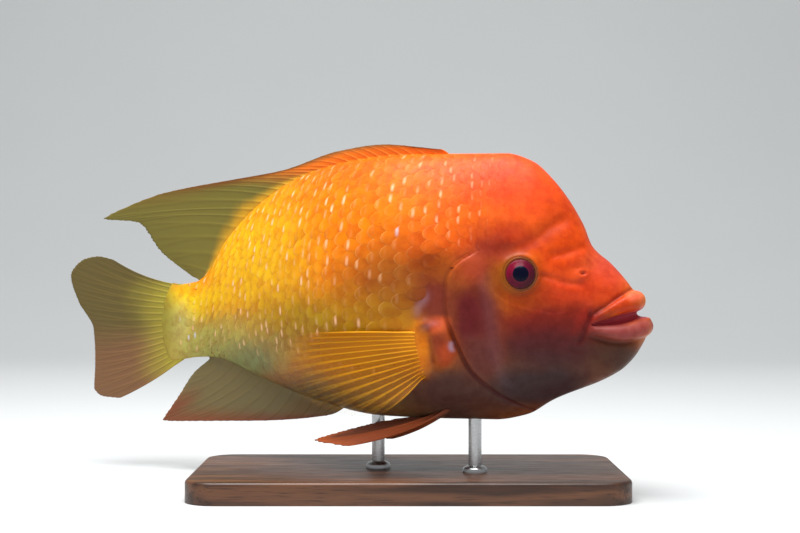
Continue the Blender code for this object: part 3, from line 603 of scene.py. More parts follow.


# Washes of colour on both sides, some with painted shade and some with painted highlight, as marked: back
# and height of the middle, reach back and up, lean, colour, strength
WASHES = [
    ((112.0, 150.0), (84.0, 24.0), 0.0, (255, 106, 8), 1.0),
    ((146.0, 122.0), (80.0, 30.0), 0.0, (250, 132, 8), 0.95),
    ((104.0, 94.0), (34.0, 27.0), 0.0, (156, 86, 26), 0.95),
    ((194.0, 104.0), (60.0, 42.0), 0.0, (250, 190, 24), 0.97),
    ((244.0, 86.0), (34.0, 26.0), 0.0, (242, 204, 28), 0.95),
    ((240.0, 97.0), (20.0, 9.0), 0.0, (238, 140, 10), 0.85),
    ((152.0, 74.0), (66.0, 22.0), 4.0, (182, 144, 6), 0.95),
    ((228.0, 64.0), (50.0, 16.0), 12.0, (186, 184, 92), 0.95),
    ((206.0, 54.0), (56.0, 15.0), 12.0, (132, 144, 90), 0.95),
    # the belly: partly its own dull colour and partly painted shade of the underside
    ((162.0, 41.0), (90.0, 18.0), 7.0, (92, 86, 62), 0.97),
    ((97.0, 37.0), (46.0, 20.0), 0.0, (78, 55, 44), 0.97),
    ((120.0, 39.0), (28.0, 12.0), 0.0, (118, 84, 46), 0.9),
    ((140.0, 45.0), (40.0, 14.0), 4.0, (96, 88, 60), 0.95),
    ((248.0, 75.0), (14.0, 14.0), 0.0, (190, 186, 110), 0.8),
    ((259.0, 76.0), (13.0, 34.0), 0.0, (150, 140, 56), 0.95),
    ((58.0, 142.0), (44.0, 32.0), 0.0, (250, 80, 28), 1.0),
    ((39.0, 126.0), (16.0, 22.0), -18.0, (204, 66, 12), 0.95),
    ((88.0, 118.0), (26.0, 18.0), 0.0, (236, 100, 20), 0.8),
    ((72.0, 113.0), (20.0, 9.0), 0.0, (206, 72, 18), 0.8),
    ((58.0, 116.0), (22.0, 10.0), -12.0, (190, 58, 20), 0.95),
    ((36.0, 109.0), (32.0, 14.0), 28.0, (220, 70, 8), 0.97),
    ((19.0, 101.0), (24.0, 15.0), 42.0, (200, 72, 50), 0.97),
    ((36.0, 92.0), (30.0, 14.0), 0.0, (218, 66, 22), 0.97),
    # the lower head, throat and chin: partly their own dusky colour and partly painted shade under the head
    ((44.0, 79.0), (50.0, 14.0), 0.0, (140, 34, 20), 0.95),
    ((44.0, 68.0), (52.0, 17.0), 0.0, (96, 20, 22), 1.0),
    ((27.0, 79.5), (9.0, 8.0), 0.0, (150, 30, 20), 0.7),
    ((50.0, 50.0), (60.0, 24.0), 6.0, (62, 42, 42), 1.0),
    ((88.0, 50.0), (22.0, 14.0), 10.0, (76, 44, 38), 0.95),
    ((12.0, 61.0), (22.0, 15.0), -34.0, (72, 42, 28), 1.0),
    ((71.0, 86.0), (8.0, 34.0), 4.0, (116, 46, 34), 0.85),
    ((79.5, 82.0), (12.0, 24.0), 0.0, (98, 20, 28), 0.97),
    ((75.0, 64.0), (10.0, 13.0), 10.0, (100, 46, 42), 0.9),
    ((77.0, 103.0), (13.0, 10.0), 0.0, (168, 62, 34), 0.9),
    ((57.5, 95.0), (15.0, 13.5), 0.0, (138, 46, 4), 0.97),
    ((66.5, 97.0), (5.5, 11.0), 0.0, (152, 76, 8), 0.75),
    ((68.0, 110.5), (12.0, 7.0), -10.0, (148, 46, 28), 0.85),
    ((14.0, 87.0), (17.0, 7.5), -26.0, (196, 62, 16), 1.0),
    # painted highlight on the front top of the upper lip
    ((7.0, 90.0), (4.5, 3.5), 0.0, (232, 104, 78), 0.8),
    ((12.0, 75.5), (18.0, 5.5), 0.0, (150, 70, 66), 1.0),
    ((5.0, 77.5), (7.0, 4.5), 0.0, (158, 74, 68), 0.9),
    # behind the gill cover's edge: dark maroon skin, partly painted shade under the edge
    ((93.0, 87.0), (10.0, 21.0), 0.0, (120, 42, 34), 0.92),
    ((93.0, 104.0), (12.0, 10.0), 0.0, (146, 66, 14), 0.85),
    ((91.0, 69.0), (9.0, 11.5), 0.0, (150, 60, 28), 0.97),
    ((98.4, 67.0), (4.4, 14.0), 0.0, (226, 128, 12), 0.95),
    # painted highlight on the top of the breast fin's fleshy root
    ((91.5, 78.0), (5.5, 4.0), -20.0, (206, 90, 46), 0.85),
    ((88.3, 64.5), (4.5, 5.5), 0.0, (186, 66, 20), 0.8),
]

markings = new_group("fish_markings", {}, {"Colour": "NodeSocketColor"})
tree = markings
place_on_fish = kept(tree, "lie")
SIDE_VIEW = (1.0, 0.0, 1.0)
flat_place = vectored(tree, "MULTIPLY", place_on_fish, SIDE_VIEW)
wander = wired(tree, "ShaderNodeTexNoise", {"Vector": place_on_fish, "Scale": 0.07, "Detail": 1.0})
wander = vectored(tree, "ADD", wander.outputs["Color"], (-0.5, -0.5, -0.5))
wander = vectored(tree, "MULTIPLY", wander, (7.0, 7.0, 7.0))
wandering = vectored(tree, "MULTIPLY", vectored(tree, "ADD", flat_place, wander), SIDE_VIEW)
colour = swatch(236, 130, 20)
for (wash_back, wash_height), (reach_back, reach_up), lean, tint, strength in WASHES:
    spot = wired(
        tree,
        "ShaderNodeMapping",
        {
            "Vector": wandering,
            "Location": (wash_back, 0.0, wash_height),
            "Rotation": (0.0, math.radians(lean), 0.0),
            "Scale": (reach_back, 1.0, reach_up),
        },
        vector_type="TEXTURE",
    ).outputs[0]
    far = vectored(tree, "LENGTH", spot)
    colour = mixed(tree, ranged(tree, far, 0.2, 1.2, strength, 0.0), colour, swatch(*tint))
mottle = clouds(tree, place_on_fish, 0.22, 4.0, 0.6)
deeper = mixed(tree, 1.0, colour, swatch(214, 176, 170), "MULTIPLY")
colour = mixed(tree, ranged(tree, mottle, 0.35, 0.7, 0.0, 0.6), colour, deeper)
eye_off = vectored(tree, "DISTANCE", flat_place, (EYE_CENTRE[0], 0.0, EYE_CENTRE[1]))
for start, end, before_eye, behind_eye, tint in (
    (8.0, 10.5, 0.15, 0.75, swatch(142, 74, 8)),
    (7.2, 8.2, 0.75, 0.15, swatch(100, 66, 40)),
):
    along_head = split(tree, flat_place)[0]
    share = ranged(tree, along_head, EYE_CENTRE[0] - 5.0, EYE_CENTRE[0] + 7.0, before_eye, behind_eye)
    colour = mixed(tree, times(tree, ranged(tree, eye_off, start, end, 1.0, 0.0), share), colour, tint)
mark = split(tree, kept(tree, "marks"))
# pale marks: the real pale band behind the cheek and a bluish spot at the gill opening, with painted
# highlights on shoulder and fin root
colour = mixed(tree, times(tree, mark[1], 0.6), colour, swatch(180, 160, 184))
# painted shade of creases, gill openings, nostrils and the fin's cleft, with the real dark pores
colour = mixed(tree, times(tree, mark[0], 0.8), colour, swatch(70, 12, 16))
colour = mixed(tree, mark[2], colour, swatch(190, 74, 84))
wired(tree, "NodeGroupOutput", {"Colour": colour})

material, tree, shader = new_material("fish_skin")
spots = object_place(tree)
slime, puckers, grain = (clouds(tree, spots, *size) for size in ((260.0, 3.0), (420.0, 3.0), (1500.0, 2.0)))
fed(tree, shader, {
    "Base Color": wired(tree, "ShaderNodeGroup", node_tree=markings).outputs["Colour"],
    "Roughness": ranged(tree, slime, 0.3, 0.7, 0.36, 0.52),
    "Normal": bumped(tree, summed(tree, "ADD", times(tree, grain, 0.35), puckers), 0.35, 0.00025),
    "Subsurface Weight": 0.08,
    "Subsurface Radius": (0.006, 0.0015, 0.0008),
    "Subsurface Scale": 0.6,
    "Specular IOR Level": 0.16,
})
skin.data.materials.clear()
skin.data.materials.append(material)

# The scales
# Thin overlapping plates of bone in the skin, about thirty along the side, smaller on nape, tail stalk and
# belly, each with its front edge sunk and its rounded rear edge free. Each is one closed plate that bends
# with the flank under it, and each side is one piece.
TABLE_BACK = np.arange(30.0, ROOT_END + 0.5, 1.0)
TABLE_STEPS = 180
TABLE_SHARE = np.linspace(0.0, 1.0, TABLE_STEPS + 1)
around_fine = np.linspace(0.0, math.pi, 361)
table_around = []
half_girth = []
for back_at in TABLE_BACK:
    side, height = section(np.full_like(around_fine, back_at), around_fine)
    run = np.concatenate([[0.0], np.cumsum(np.hypot(np.diff(side), np.diff(height)))])
    half_girth.append(run[-1])
    table_around.append(np.interp(TABLE_SHARE, run / run[-1], around_fine))
table_around = np.array(table_around)
half_girth = np.array(half_girth)


def girth_at(back):
    return np.interp(back, TABLE_BACK, half_girth)


def around_at(back, share):
    """Angle round the body at a share of the way from the back's middle to the belly's."""
    i = np.clip((back - TABLE_BACK[0]), 0.0, len(TABLE_BACK) - 1.001)
    j = np.clip(share * TABLE_STEPS, 0.0, TABLE_STEPS - 0.001)
    i0, j0 = i.astype(int), j.astype(int)
    fi, fj = i - i0, j - j0
    upper = table_around[i0, j0] * (1 - fj) + table_around[i0, j0 + 1] * fj
    lower = table_around[i0 + 1, j0] * (1 - fj) + table_around[i0 + 1, j0 + 1] * fj
    return upper * (1 - fi) + lower * fi


def laid_on(back, share, lift, hand):
    """World points at a lift above the body, the side and height under them, and the way out there."""
    share = np.clip(share, 0.0, 1.0)

    def spot(b, s):
        side, height = section(b, around_at(b, s))
        return place(b, hand * side, height), side, height

    at, side, height = spot(back, share)
    inside = np.clip(share, 0.004, 0.996)
    down = spot(back, inside + 0.004)[0] - spot(back, inside - 0.004)[0]
    behind = np.minimum(back + 0.5, ROOT_END - 0.5)
    rear = spot(behind, inside)[0] - spot(behind - 1.0, inside)[0]
    normal = np.cross(rear, down) * hand
    normal /= np.linalg.norm(normal, axis=1)[:, None]
    return at + normal * lift[:, None] * MM, side, height, normal


# How far scales keep from the gill opening, the breast fin's base line and, in its sizes, its fleshy root
GILL_CLEAR, FIN_CLEAR, ROOT_CLEAR = 7.0, 7.8, 1.55


def scale_rows(first, last, step, tall, reference):
    """Places of scales in rows that follow the body, every second column half a row lower."""
    found = []
    at, column = first, 0
    while at < last:
        rise = float(tall(at))
        girth = float(girth_at(at))
        for row in range(-40, 41):
            down = reference * girth + (row + 0.5 * (column % 2)) * rise
            if 0.0 < down < girth:
                found.append((at, down / girth, rise))
        at += float(step(at))
        column += 1
    return np.array(found)


def region_of(back, share):
    """Which scales grow at a place, 1 on flank and nape, 2 on the belly, and how full-grown they are."""
    around = around_at(back, share)
    side, height = section(back, around)
    gill_off, _ = gill_distance(back, height)
    clear = GILL_CLEAR + 2.5 * smooth_step(height, 100.0, 106.0)
    behind = ((gill_off > clear) & (height < 109.5) & (back > 60.0)) | ((height > 109.0) & (back > 76.0))
    root = fin_root_distance(back, height)
    base_off, _ = from_line(FIN_BASE, back, height)
    behind &= (root > ROOT_CLEAR) & (np.abs(base_off) > FIN_CLEAR)
    edge_of_belly = 0.8 + 0.02 * np.sin(back * 0.9)
    above = height - 108.0 - 0.3 * (76.0 - back)
    flank = (behind & (share < edge_of_belly)) | ((above > 0.0) & (back > 52.0))
    flank &= back < ROOT_END - 3.0 - 7.0 * np.cos(around) ** 2
    belly = behind & (share >= edge_of_belly) & (back > 102.0)
    on_nape = smooth_step(back, 56.0, 92.0) * smooth_step(above, 0.0, 10.0)
    beside_gill = smooth_step(gill_off, 2.0, 11.0) * (height < 112.0)
    on_belly = 0.2 + 0.8 * smooth_step(back, 102.0, 150.0)
    grown_out = np.where(flank, np.maximum(on_nape, beside_gill), on_belly)
    grown_out = grown_out * smooth_step(root, 1.2, 2.4) * (1.0 - smooth_step(back, 232.0, 252.0))
    return np.select([flank, belly], [1, 2], 0), grown_out


# One plate: a flat, squarish lens with a rounded rear edge, in shares of its half length and height
plate = bmesh.new()
bmesh.ops.create_uvsphere(plate, u_segments=12, v_segments=4, radius=1.0)
plate_points = np.array([vertex.co[:] for vertex in plate.verts])
plate_faces = [[vertex.index for vertex in face.verts] for face in plate.faces]
plate.free()
ring = np.hypot(plate_points[:, 0], plate_points[:, 1])
widen = np.where(ring > 1e-6, np.sqrt(ring) / np.maximum(ring, 1e-6), 1.0)
plate_x = plate_points[:, 0] * widen
plate_y = plate_points[:, 1] * widen * (1.0 - 0.16 * np.maximum(plate_x, 0.0) ** 2)
plate_z = np.sign(plate_points[:, 2]) * np.abs(plate_points[:, 2]) ** 0.8

# Kinds of scale: distance between columns and between rows at a place, where its columns run, lift of the
# rear edge, thickness
KINDS = {
    1: dict(
        step=lambda at: 3.3 + 2.0 * smooth_step(at, 50.0, 112.0) - 0.9 * smooth_step(at, 190.0, 246.0),
        tall=lambda at: 4.0 + 2.3 * smooth_step(at, 50.0, 112.0) - 2.2 * smooth_step(at, 130.0, 240.0),
        first=52.0, last=255.0, lift=0.05, thick=0.05,
    ),
    2: dict(step=lambda at: 3.7, tall=lambda at: 4.2, first=62.0, last=246.0, lift=0.04, thick=0.05),
}
# Scales with a strong painted highlight near the rear edge: back and height on the side, 1 where it is
# bluish
FLECKS = [
    (106.3, 118.1, 1), (156.3, 122.9, 0), (128.7, 133.7, 0), (137.9, 128.9, 0), (196.3, 112.0, 0),
    (187.9, 113.7, 0), (164.3, 111.7, 0), (205.1, 95.5, 0), (155.1, 97.5, 0), (194.3, 80.6, 0),
    (240.3, 68.3, 1), (244.3, 76.2, 1), (129.5, 76.1, 0), (184.3, 76.2, 0), (235.1, 69.4, 1),
    (140.0, 133.0, 0), (91.0, 126.0, 0), (168.0, 82.0, 0),
]
REFERENCE_ROW = 0.47  # share of the way down the side at which the rows start
UNWRAP_FRONT = 36.0  # the first place back on the unwrapped side
scale_pieces = []
for hand, word in ((1, "right"), (-1, "left")):
    dice = np.random.default_rng(71 + hand)
    roots = []
    for kind, rule in KINDS.items():
        found = scale_rows(rule["first"], rule["last"], rule["step"], rule["tall"], REFERENCE_ROW)
        where, out = region_of(found[:, 0], found[:, 1])
        found, out = found[where == kind], out[where == kind]
        apart = [float(rule["step"](at)) for at in found[:, 0]]
        same = [np.full(len(found), value) for value in (rule["lift"], rule["thick"], kind)]
        roots.append(np.stack([*found.T, apart, *same, out]))
    roots = np.concatenate(roots, axis=1)
    back_root, down_share, row_apart, column_apart, tip_up, thick, kind, grown_out = roots
    count, per = len(back_root), len(plate_x)
    girth = girth_at(back_root)
    down_root = down_share * girth
    back_root = back_root + dice.normal(0.0, 0.05, count) * column_apart
    down_root = down_root + dice.normal(0.0, 0.04, count) * row_apart
    size = 1.0 + dice.normal(0.0, 0.04, count)
    half_long = 0.92 * column_apart * size
    half_tall = 0.64 * row_apart * size
    tip_up = tip_up * (2.6 - 1.6 * grown_out) * (1.0 + 0.3 * dice.normal(0.0, 1.0, count).clip(-1.5, 1.5))
    bed = 0.2 * grown_out - 0.16 - SCALE_BED * smooth_step(back_root, 50.0, 84.0)
    back = np.minimum((back_root[:, None] + plate_x * half_long[:, None]).ravel(), ROOT_END)
    down = (down_root[:, None] + plate_y * half_tall[:, None]).ravel()
    lift = (bed[:, None] + plate_x * tip_up[:, None] + plate_z * thick[:, None] * 0.5).ravel()
    share = down / girth_at(back)
    _, side, height, _ = laid_on(back, share, lift, hand)
    head = back < HEAD_END
    raised = np.zeros(len(back))
    raised[head] = relief(back[head], height[head]) * smooth_step(side[head], 1.0, 5.0)
    points, side, height, outward = laid_on(back, share, lift + raised, hand)

    mesh = bpy.data.meshes.new("scales_" + word)
    sizes = np.array([len(face) for face in plate_faces])
    # corners run the other way round on the left, so that the mirrored plates aren't inside out
    faces = np.array([face[::hand] + [-1] * (4 - len(face)) for face in plate_faces])
    corners = (faces[None, :, :] + (np.arange(count) * per)[:, None, None]).reshape(-1, 4)
    corners = corners[np.tile(np.arange(4)[None, :] < sizes[:, None], (count, 1))].astype(np.int32)
    starts = np.concatenate([[0], np.cumsum(np.tile(sizes, count))[:-1]]).astype(np.int32)
    mesh.vertices.add(len(points))
    mesh.vertices.foreach_set("co", points.astype(np.float32).ravel())
    mesh.loops.add(len(corners))
    mesh.loops.foreach_set("vertex_index", corners)
    mesh.polygons.add(len(starts))
    mesh.polygons.foreach_set("loop_start", starts)
    mesh.update(calc_edges=True)
    mesh.validate()
    mesh.shade_smooth()
    shaded = outward + 0.3 * normals_of(mesh)
    mesh.normals_split_custom_set_from_vertices(shaded / np.linalg.norm(shaded, axis=1)[:, None])

    down_share = np.clip(down_root / girth, 0.0, 1.0)
    side_root, height_root = section(back_root, around_at(back_root, down_share))
    chance = dice.random(count)
    # strength of each plate's painted highlight streak, strongest on the flecked scales
    highlight_strength = dice.random(count) ** 2.4
    for fleck_back, fleck_height, bluish in FLECKS:
        nearest = np.hypot(back_root - fleck_back, height_root - fleck_height).argmin()
        highlight_strength[nearest] = 1.3 + 0.3 * bluish
    at_root = [np.repeat(values, per) for values in (back_root, side_root, height_root)]
    at_point = (back, side, height)
    keep_values(mesh, "lie", *[0.35 * root + 0.65 * own for root, own in zip(at_root, at_point)])
    keep_values(mesh, "plate", np.tile(plate_x, count), np.tile(plate_y, count), np.repeat(chance, per))
    traits = (grown_out * (kind < 1.5), dice.random(count), highlight_strength)
    keep_values(mesh, "plate_kind", *[np.repeat(values, per) for values in traits])
    dark, pale, _ = marks_of(back_root, side_root, height_root)
    keep_values(mesh, "marks", *[np.repeat(values, per) for values in (dark, 0.2 * pale, 0.0 * pale)])
    unwrap = mesh.uv_layers.new(name="OFBake")
    root_u = 0.02 + 0.96 * (back_root - UNWRAP_FRONT) / (ROOT_END + 2.0 - UNWRAP_FRONT)
    patch_u = root_u[:, None] + 0.0015 * plate_x
    patch_v = (0.02 + 0.96 * down_share)[:, None] + 0.0015 * plate_y
    patch = np.stack([patch_u.ravel(), patch_v.ravel()], axis=-1)
    unwrap.uv.foreach_set("vector", patch[corners].astype(np.float32).ravel())
    piece = new_piece("scales_" + word, mesh)
    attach(piece, "root")
    scale_pieces.append(piece)

material, tree, shader = new_material("fish_scales")
marked = wired(tree, "ShaderNodeGroup", node_tree=markings).outputs["Colour"]
plate_place = kept(tree, "plate")
back_on_plate, up_on_plate, chance = split(tree, plate_place)
grown, luck, highlight_strength = split(tree, kept(tree, "plate_kind"))
colour = marked
for share, tint in (
    (ranged(tree, chance, 0.25, 1.0, 0.0, 0.17), swatch(232, 190, 150)),
    (ranged(tree, luck, 0.5, 1.0, 0.0, 0.17), swatch(255, 222, 120)),
    # painted shade on the front part of each plate, where it slips under the plate before it
    (times(tree, ranged(tree, back_on_plate, -0.4, 0.5, 0.16, 0.0), grown), swatch(226, 150, 110)),
):
    colour = mixed(tree, share, colour, mixed(tree, 1.0, colour, tint, "MULTIPLY"))
middle = summed(tree, "ADD", back_on_plate, ranged(tree, chance, 0.0, 1.0, -0.14, 0.14))
level = summed(tree, "ADD", up_on_plate, ranged(tree, luck, 0.0, 1.0, -0.3, 0.3))
# a pale painted highlight streak near each plate's rear edge
streak_highlight = times(
    tree,
    ranged(tree, middle, 0.4, 0.6),
    ranged(tree, middle, 0.64, 0.84, 1.0, 0.0),
    ranged(tree, summed(tree, "ABSOLUTE", level), 0.1, 0.8, 1.0, 0.0),
    ranged(tree, highlight_strength, 0.0, 1.3, 0.05, 0.95),
    ranged(tree, grown, 0.0, 0.6),
)
lit = ranged(tree, split(tree, marked)[1], 0.04, 0.22, 0.3, 1.0)
# painted highlight on the rounded rear rim of each plate, scaled by how light the colour under it is
rounded = vectored(tree, "LENGTH", vectored(tree, "MULTIPLY", plate_place, (1.0, 1.0, 0.0)))
rim = times(
    tree,
    ranged(tree, rounded, 0.78, 0.95),
    ranged(tree, back_on_plate, 0.0, 0.6),
    ranged(tree, luck, 0.0, 1.0, 0.04, 0.28),
    ranged(tree, grown, 0.6, 1.0),
)
colour = mixed(tree, times(tree, rim, lit), colour, swatch(255, 190, 110))
# tint of the painted highlight, bluish on some flecks
highlight_tint = mixed(tree, ranged(tree, highlight_strength, 1.3, 1.6), swatch(255, 200, 156), swatch(214, 208, 214))
colour = mixed(tree, times(tree, streak_highlight, lit), colour, highlight_tint)
wet = clouds(tree, object_place(tree), 420.0)
ridges = wired(
    tree,
    "ShaderNodeTexWave",
    {"Vector": plate_place, "Scale": 2.2, "Distortion": 0.6, "Detail": 1.0},
    wave_type="RINGS",
    rings_direction="Z",
).outputs["Fac"]
fed(tree, shader, {
    "Base Color": colour,
    "Roughness": ranged(tree, wet, 0.3, 0.7, 0.34, 0.5),
    "Normal": bumped(tree, ridges, 0.2),
    "Specular IOR Level": 0.15,
    "Subsurface Weight": 0.12,
    "Subsurface Radius": (0.003, 0.001, 0.0005),
})
for piece in scale_pieces:
    piece.data.materials.append(material)

# The eyes
# Glossy balls set in the orbits: a blue-black pupil that bulges a little, a thin pink ring round it, a
# crimson iris of fine spokes and a dark olive rim. Each is one ball, domed where the cornea stands out.
PUPIL = 0.5  # its share of the ball's radius
EYE_THICKNESS = 5.6
eyeballs = []
for hand, word in ((1, "right"), (-1, "left")):
    bm = bmesh.new()
    bmesh.ops.create_uvsphere(bm, u_segments=72, v_segments=48, radius=1.0)
    for vertex in bm.verts:
        across = math.hypot(vertex.co.x, vertex.co.y)
        if vertex.co.z > 0.0:
            lens = math.sqrt(max(0.0, 1.0 - (across / PUPIL) ** 2)) * 0.10 if across < PUPIL else 0.0
            dip = 0.07 * math.sin(math.pi * min(max((across - PUPIL) / 0.4, 0.0), 1.0))
            vertex.co.z = 0.93 * max(0.0, 1.0 - across ** 3) ** (1.0 / 3.0) + lens - dip
    discs = np.array([vertex.co[:] for vertex in bm.verts])
    ball_size = Matrix.Diagonal((EYE_RADIUS * MM, EYE_RADIUS * MM, EYE_THICKNESS * MM, 1.0))
    bmesh.ops.transform(bm, matrix=eye_frame(hand) @ ball_size, verts=bm.verts)
    bmesh.ops.recalc_face_normals(bm, faces=bm.faces)
    piece = new_piece("eyeball_" + word, settled(bm, "eyeball_" + word))
    keep_values(piece.data, "disc", *discs.T)
    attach(piece, "root")
    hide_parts("eye_" + word)
    eyeballs.append(piece)
    lid = wrapped(96, 16, eyelid_spot(hand, 0.15, 2.85, 0.62))
    piece = new_piece("eyelid_" + word, settled(lid, "eyelid_" + word))
    keep_values(piece.data, "marks", *(0.0 * values for values in keep_lie(piece.data)))
    piece.data.materials.append(skin.data.materials[0])
    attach(piece, "root")

material, tree, shader = new_material("fish_eye")
flat = vectored(tree, "MULTIPLY", kept(tree, "disc"), (1.0, 1.0, 0.0))
far = vectored(tree, "LENGTH", flat)
spokes = clouds(tree, vectored(tree, "NORMALIZE", flat), 9.0, 4.0, 0.7)
blotch = clouds(tree, flat, 2.4, 2.0)
rear_top = vectored(tree, "DOT_PRODUCT", flat, (0.8, 0.6, 0.0))
pink = times(tree, ranged(tree, far, 0.50, 0.53), ranged(tree, far, 0.54, 0.60, 1.0, 0.0), 0.12)
colour = mixed(tree, ranged(tree, spokes, 0.2, 0.8), swatch(82, 14, 34), swatch(104, 18, 42))
for share, tint in (
    (ranged(tree, blotch, 0.4, 0.65, 0.0, 0.4), swatch(62, 14, 36)),
    (ranged(tree, rear_top, 0.0, 0.8, 0.0, 0.85), swatch(124, 14, 42)),
    (ranged(tree, rear_top, -0.8, -0.1, 0.7, 0.0), swatch(60, 26, 34)),
    (ranged(tree, far, 0.84, 0.97, 0.0, 0.8), swatch(96, 66, 50)),
    (pink, swatch(150, 60, 84)),
    (ranged(tree, far, 0.485, 0.505, 1.0, 0.0), swatch(8, 9, 30)),
):
    colour = mixed(tree, share, colour, tint)
fed(tree, shader, {
    "Base Color": colour,
    "Roughness": ranged(tree, spokes, 0.3, 0.7, 0.2, 0.32),
    "Normal": bumped(tree, spokes, 0.1),
    "Specular IOR Level": 0.08,
    "Coat Weight": 0.02,
    "Coat Roughness": 0.05,
})
for piece in eyeballs:
    piece.data.materials.append(material)

# The fins
# Thin webs of skin on fans of jointed rays that fork towards the edge; the front part of the back fin is
# on stiff spines. Each is one closed sheet with its rays raised on both faces, rooted in the body.
DORSAL_SPINES = 0.6  # share of the back fin that is on spines
DORSAL_EDGE = [
    (0.0, 97.0, 156.2), (0.14, 126.0, 159.4), (0.3, 152.0, 157.4), (0.45, 187.0, 149.6),
    (0.6, 222.0, 145.6), (0.7, 257.0, 140.0), (0.76, 290.0, 127.4), (0.82, 272.0, 125.6),
    (0.91, 258.0, 110.0), (1.0, 241.0, 97.8),
]
ANAL_EDGE = [
    (0.0, 158.0, 32.4), (0.2, 176.0, 29.6), (0.4, 205.0, 26.8), (0.62, 252.0, 25.0), (0.68, 257.0, 25.4),
    (0.8, 248.0, 38.0), (0.9, 240.0, 49.6), (1.0, 231.0, 56.8),
]
CAUDAL_EDGE = [
    (0.0, 284.0, 106.6), (0.05, 292.5, 108.3), (0.1, 300.0, 107.0), (0.2, 308.0, 98.4),
    (0.36, 304.0, 85.0), (0.52, 296.0, 71.0), (0.7, 295.5, 56.0), (0.88, 296.0, 41.0),
    (0.94, 291.0, 36.6), (1.0, 281.0, 35.8),
]
PECTORAL_ROOT = [
    (0.0, 99.3, 73.8), (0.25, 98.5, 69.3), (0.5, 97.9, 64.4), (0.78, 97.7, 58.8), (1.0, 98.2, 55.2),
]
PECTORAL_EDGE = [
    (0.0, 156.0, 71.5), (0.12, 170.0, 66.5), (0.28, 173.0, 58.5), (0.45, 163.0, 50.5), (0.62, 147.0, 43.5),
    (0.78, 131.0, 38.5), (0.9, 119.0, 36.8), (1.0, 108.5, 39.0),
]
PELVIC_EDGE = [
    (0.0, 132.0, 18.0, 21.2), (0.25, 152.0, 15.5, 22.4), (0.6, 138.0, 10.5, 27.4), (1.0, 121.0, 6.0, 32.4),
]


def ray_show(share, out, rays, forks, stiff=0.0):
    """How much a place lies on a ray: 1 on its crest, 0 on the web between."""
    off = share * (rays - 1.0)
    off = np.abs(off - np.round(off))
    soft = smooth_step(share, stiff - 0.02, stiff + 0.02) if stiff else 1.0
    for start, spread in forks:
        off = np.abs(off - soft * spread * smooth_step(out, start, 1.15))
    return bell(off, 0.15 * (1.0 - 0.62 * out))


def make_fin(
    name, node, rays, across, rows, root, tip, bow, forks, thick, ridge, stiff, notch, wave=None
):
    """A closed sheet from root to tip, bowed between them, whose rays fork at pairs of reach and spread."""
    bm = bmesh.new()
    bmesh.ops.create_grid(bm, x_segments=across * (rays - 1), y_segments=rows, size=0.5)
    fan = np.array([vertex.co[:2] for vertex in bm.verts]) + 0.5
    mesh = settled(bm, name)
    share, out = fan.T
    crest = ray_show(share, out, rays, forks, stiff)
    ragged = np.array([noise.noise((float(s) * rays * 3.1, 4.7, 0.3)) for s in share])
    reach = out * (1.0 - notch * (1.0 - crest) - 0.4 * notch * ragged)
    start, end, swing = (np.stack(line(share)) for line in (root, tip, bow))
    back, side, height = start + (end - start) * reach + swing * (4.0 * reach * (1.0 - reach))
    if wave is not None:
        side = side + wave(share, out)
    move_points(mesh, place(back, side, height))
    keep_values(mesh, "fan", crest, out, share)
    keep_values(mesh, "lie", back, np.abs(side), height)
    piece = new_piece(name, mesh)
    mesh = finished(piece, "SOLIDIFY", thickness=thick * MM, offset=0.0)
    fan = np.empty(len(mesh.vertices) * 3, np.float32)
    mesh.attributes["fan"].data.foreach_get("vector", fan)
    crest, out, share = fan.reshape(-1, 3).T
    rise = ridge * crest * (1.0 - 0.7 * out) + 0.5 * (1.0 - smooth_step(out, 0.0, 0.16)) - 0.3 * thick * out
    move_points(mesh, points_of(mesh) + normals_of(mesh) * rise[:, None] * MM)
    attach(piece, "root")
    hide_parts(node)
    return piece


def upright_edge(line):
    """A line in the middle plane, to be asked for its places at shares of its length."""
    return lambda s: (along(line, s), 0.0 * s, along(line, s, 2))


dorsal = make_fin(
    "back_fin", "dorsal_fin", 27, 12, 40,
    lambda s: (91.0 + 146.0 * s, 0.0 * s, along(BACK_LINE, 91.0 + 146.0 * s) - 1.5),
    upright_edge(DORSAL_EDGE),
    lambda s: (
        -2.0 * smooth_step(s, DORSAL_SPINES, 0.9),
        0.0 * s,
        (1.0 + 2.0 * smooth_step(s, DORSAL_SPINES, 0.8)) * (1.0 - s ** 8),
    ),
    [(0.35, 0.27), (0.62, 0.12)], 0.42, 0.28, DORSAL_SPINES, 0.01,
    lambda s, o: 0.9 * np.sin(9.0 * s + 2.0 * o) * o * o,
)
anal = make_fin(
    "anal_fin_web", "anal_fin", 15, 16, 36,
    lambda s: (146.0 + 88.0 * s, 0.0 * s, along(BELLY_LINE, 146.0 + 88.0 * s) + 1.5),
    upright_edge(ANAL_EDGE),
    lambda s: (-1.5 * s, 0.0 * s, -(1.0 + 1.5 * s) * (1.0 - s ** 8)),
    [(0.35, 0.27), (0.62, 0.12)], 0.42, 0.28, 0.4, 0.008,
    lambda s, o: 0.9 * np.sin(7.0 * s + 3.0 * o) * o * o,
)
caudal = make_fin(
    "tail_fin", "caudal_fin", 17, 16, 48,
    lambda s: (LENGTH - 1.0 + 0.0 * s, 0.0 * s, 93.6 - 37.0 * s),
    upright_edge(CAUDAL_EDGE),
    lambda s: (0.0 * s, 0.0 * s, -2.5 + 1.0 * s),
    [(0.22, 0.27), (0.52, 0.13)], 0.5, 0.3, 0.0, 0.006,
    lambda s, o: 1.3 * np.sin(5.0 * s + 1.0) * o * o,
)
breast_fins, belly_fins = [], []
PECTORAL_LOWEST = 62.0  # the breast fin's tips keep off the body as if no lower than this
_, root_backs, root_heights = np.array(PECTORAL_ROOT).T
root_rises = relief(root_backs, root_heights)
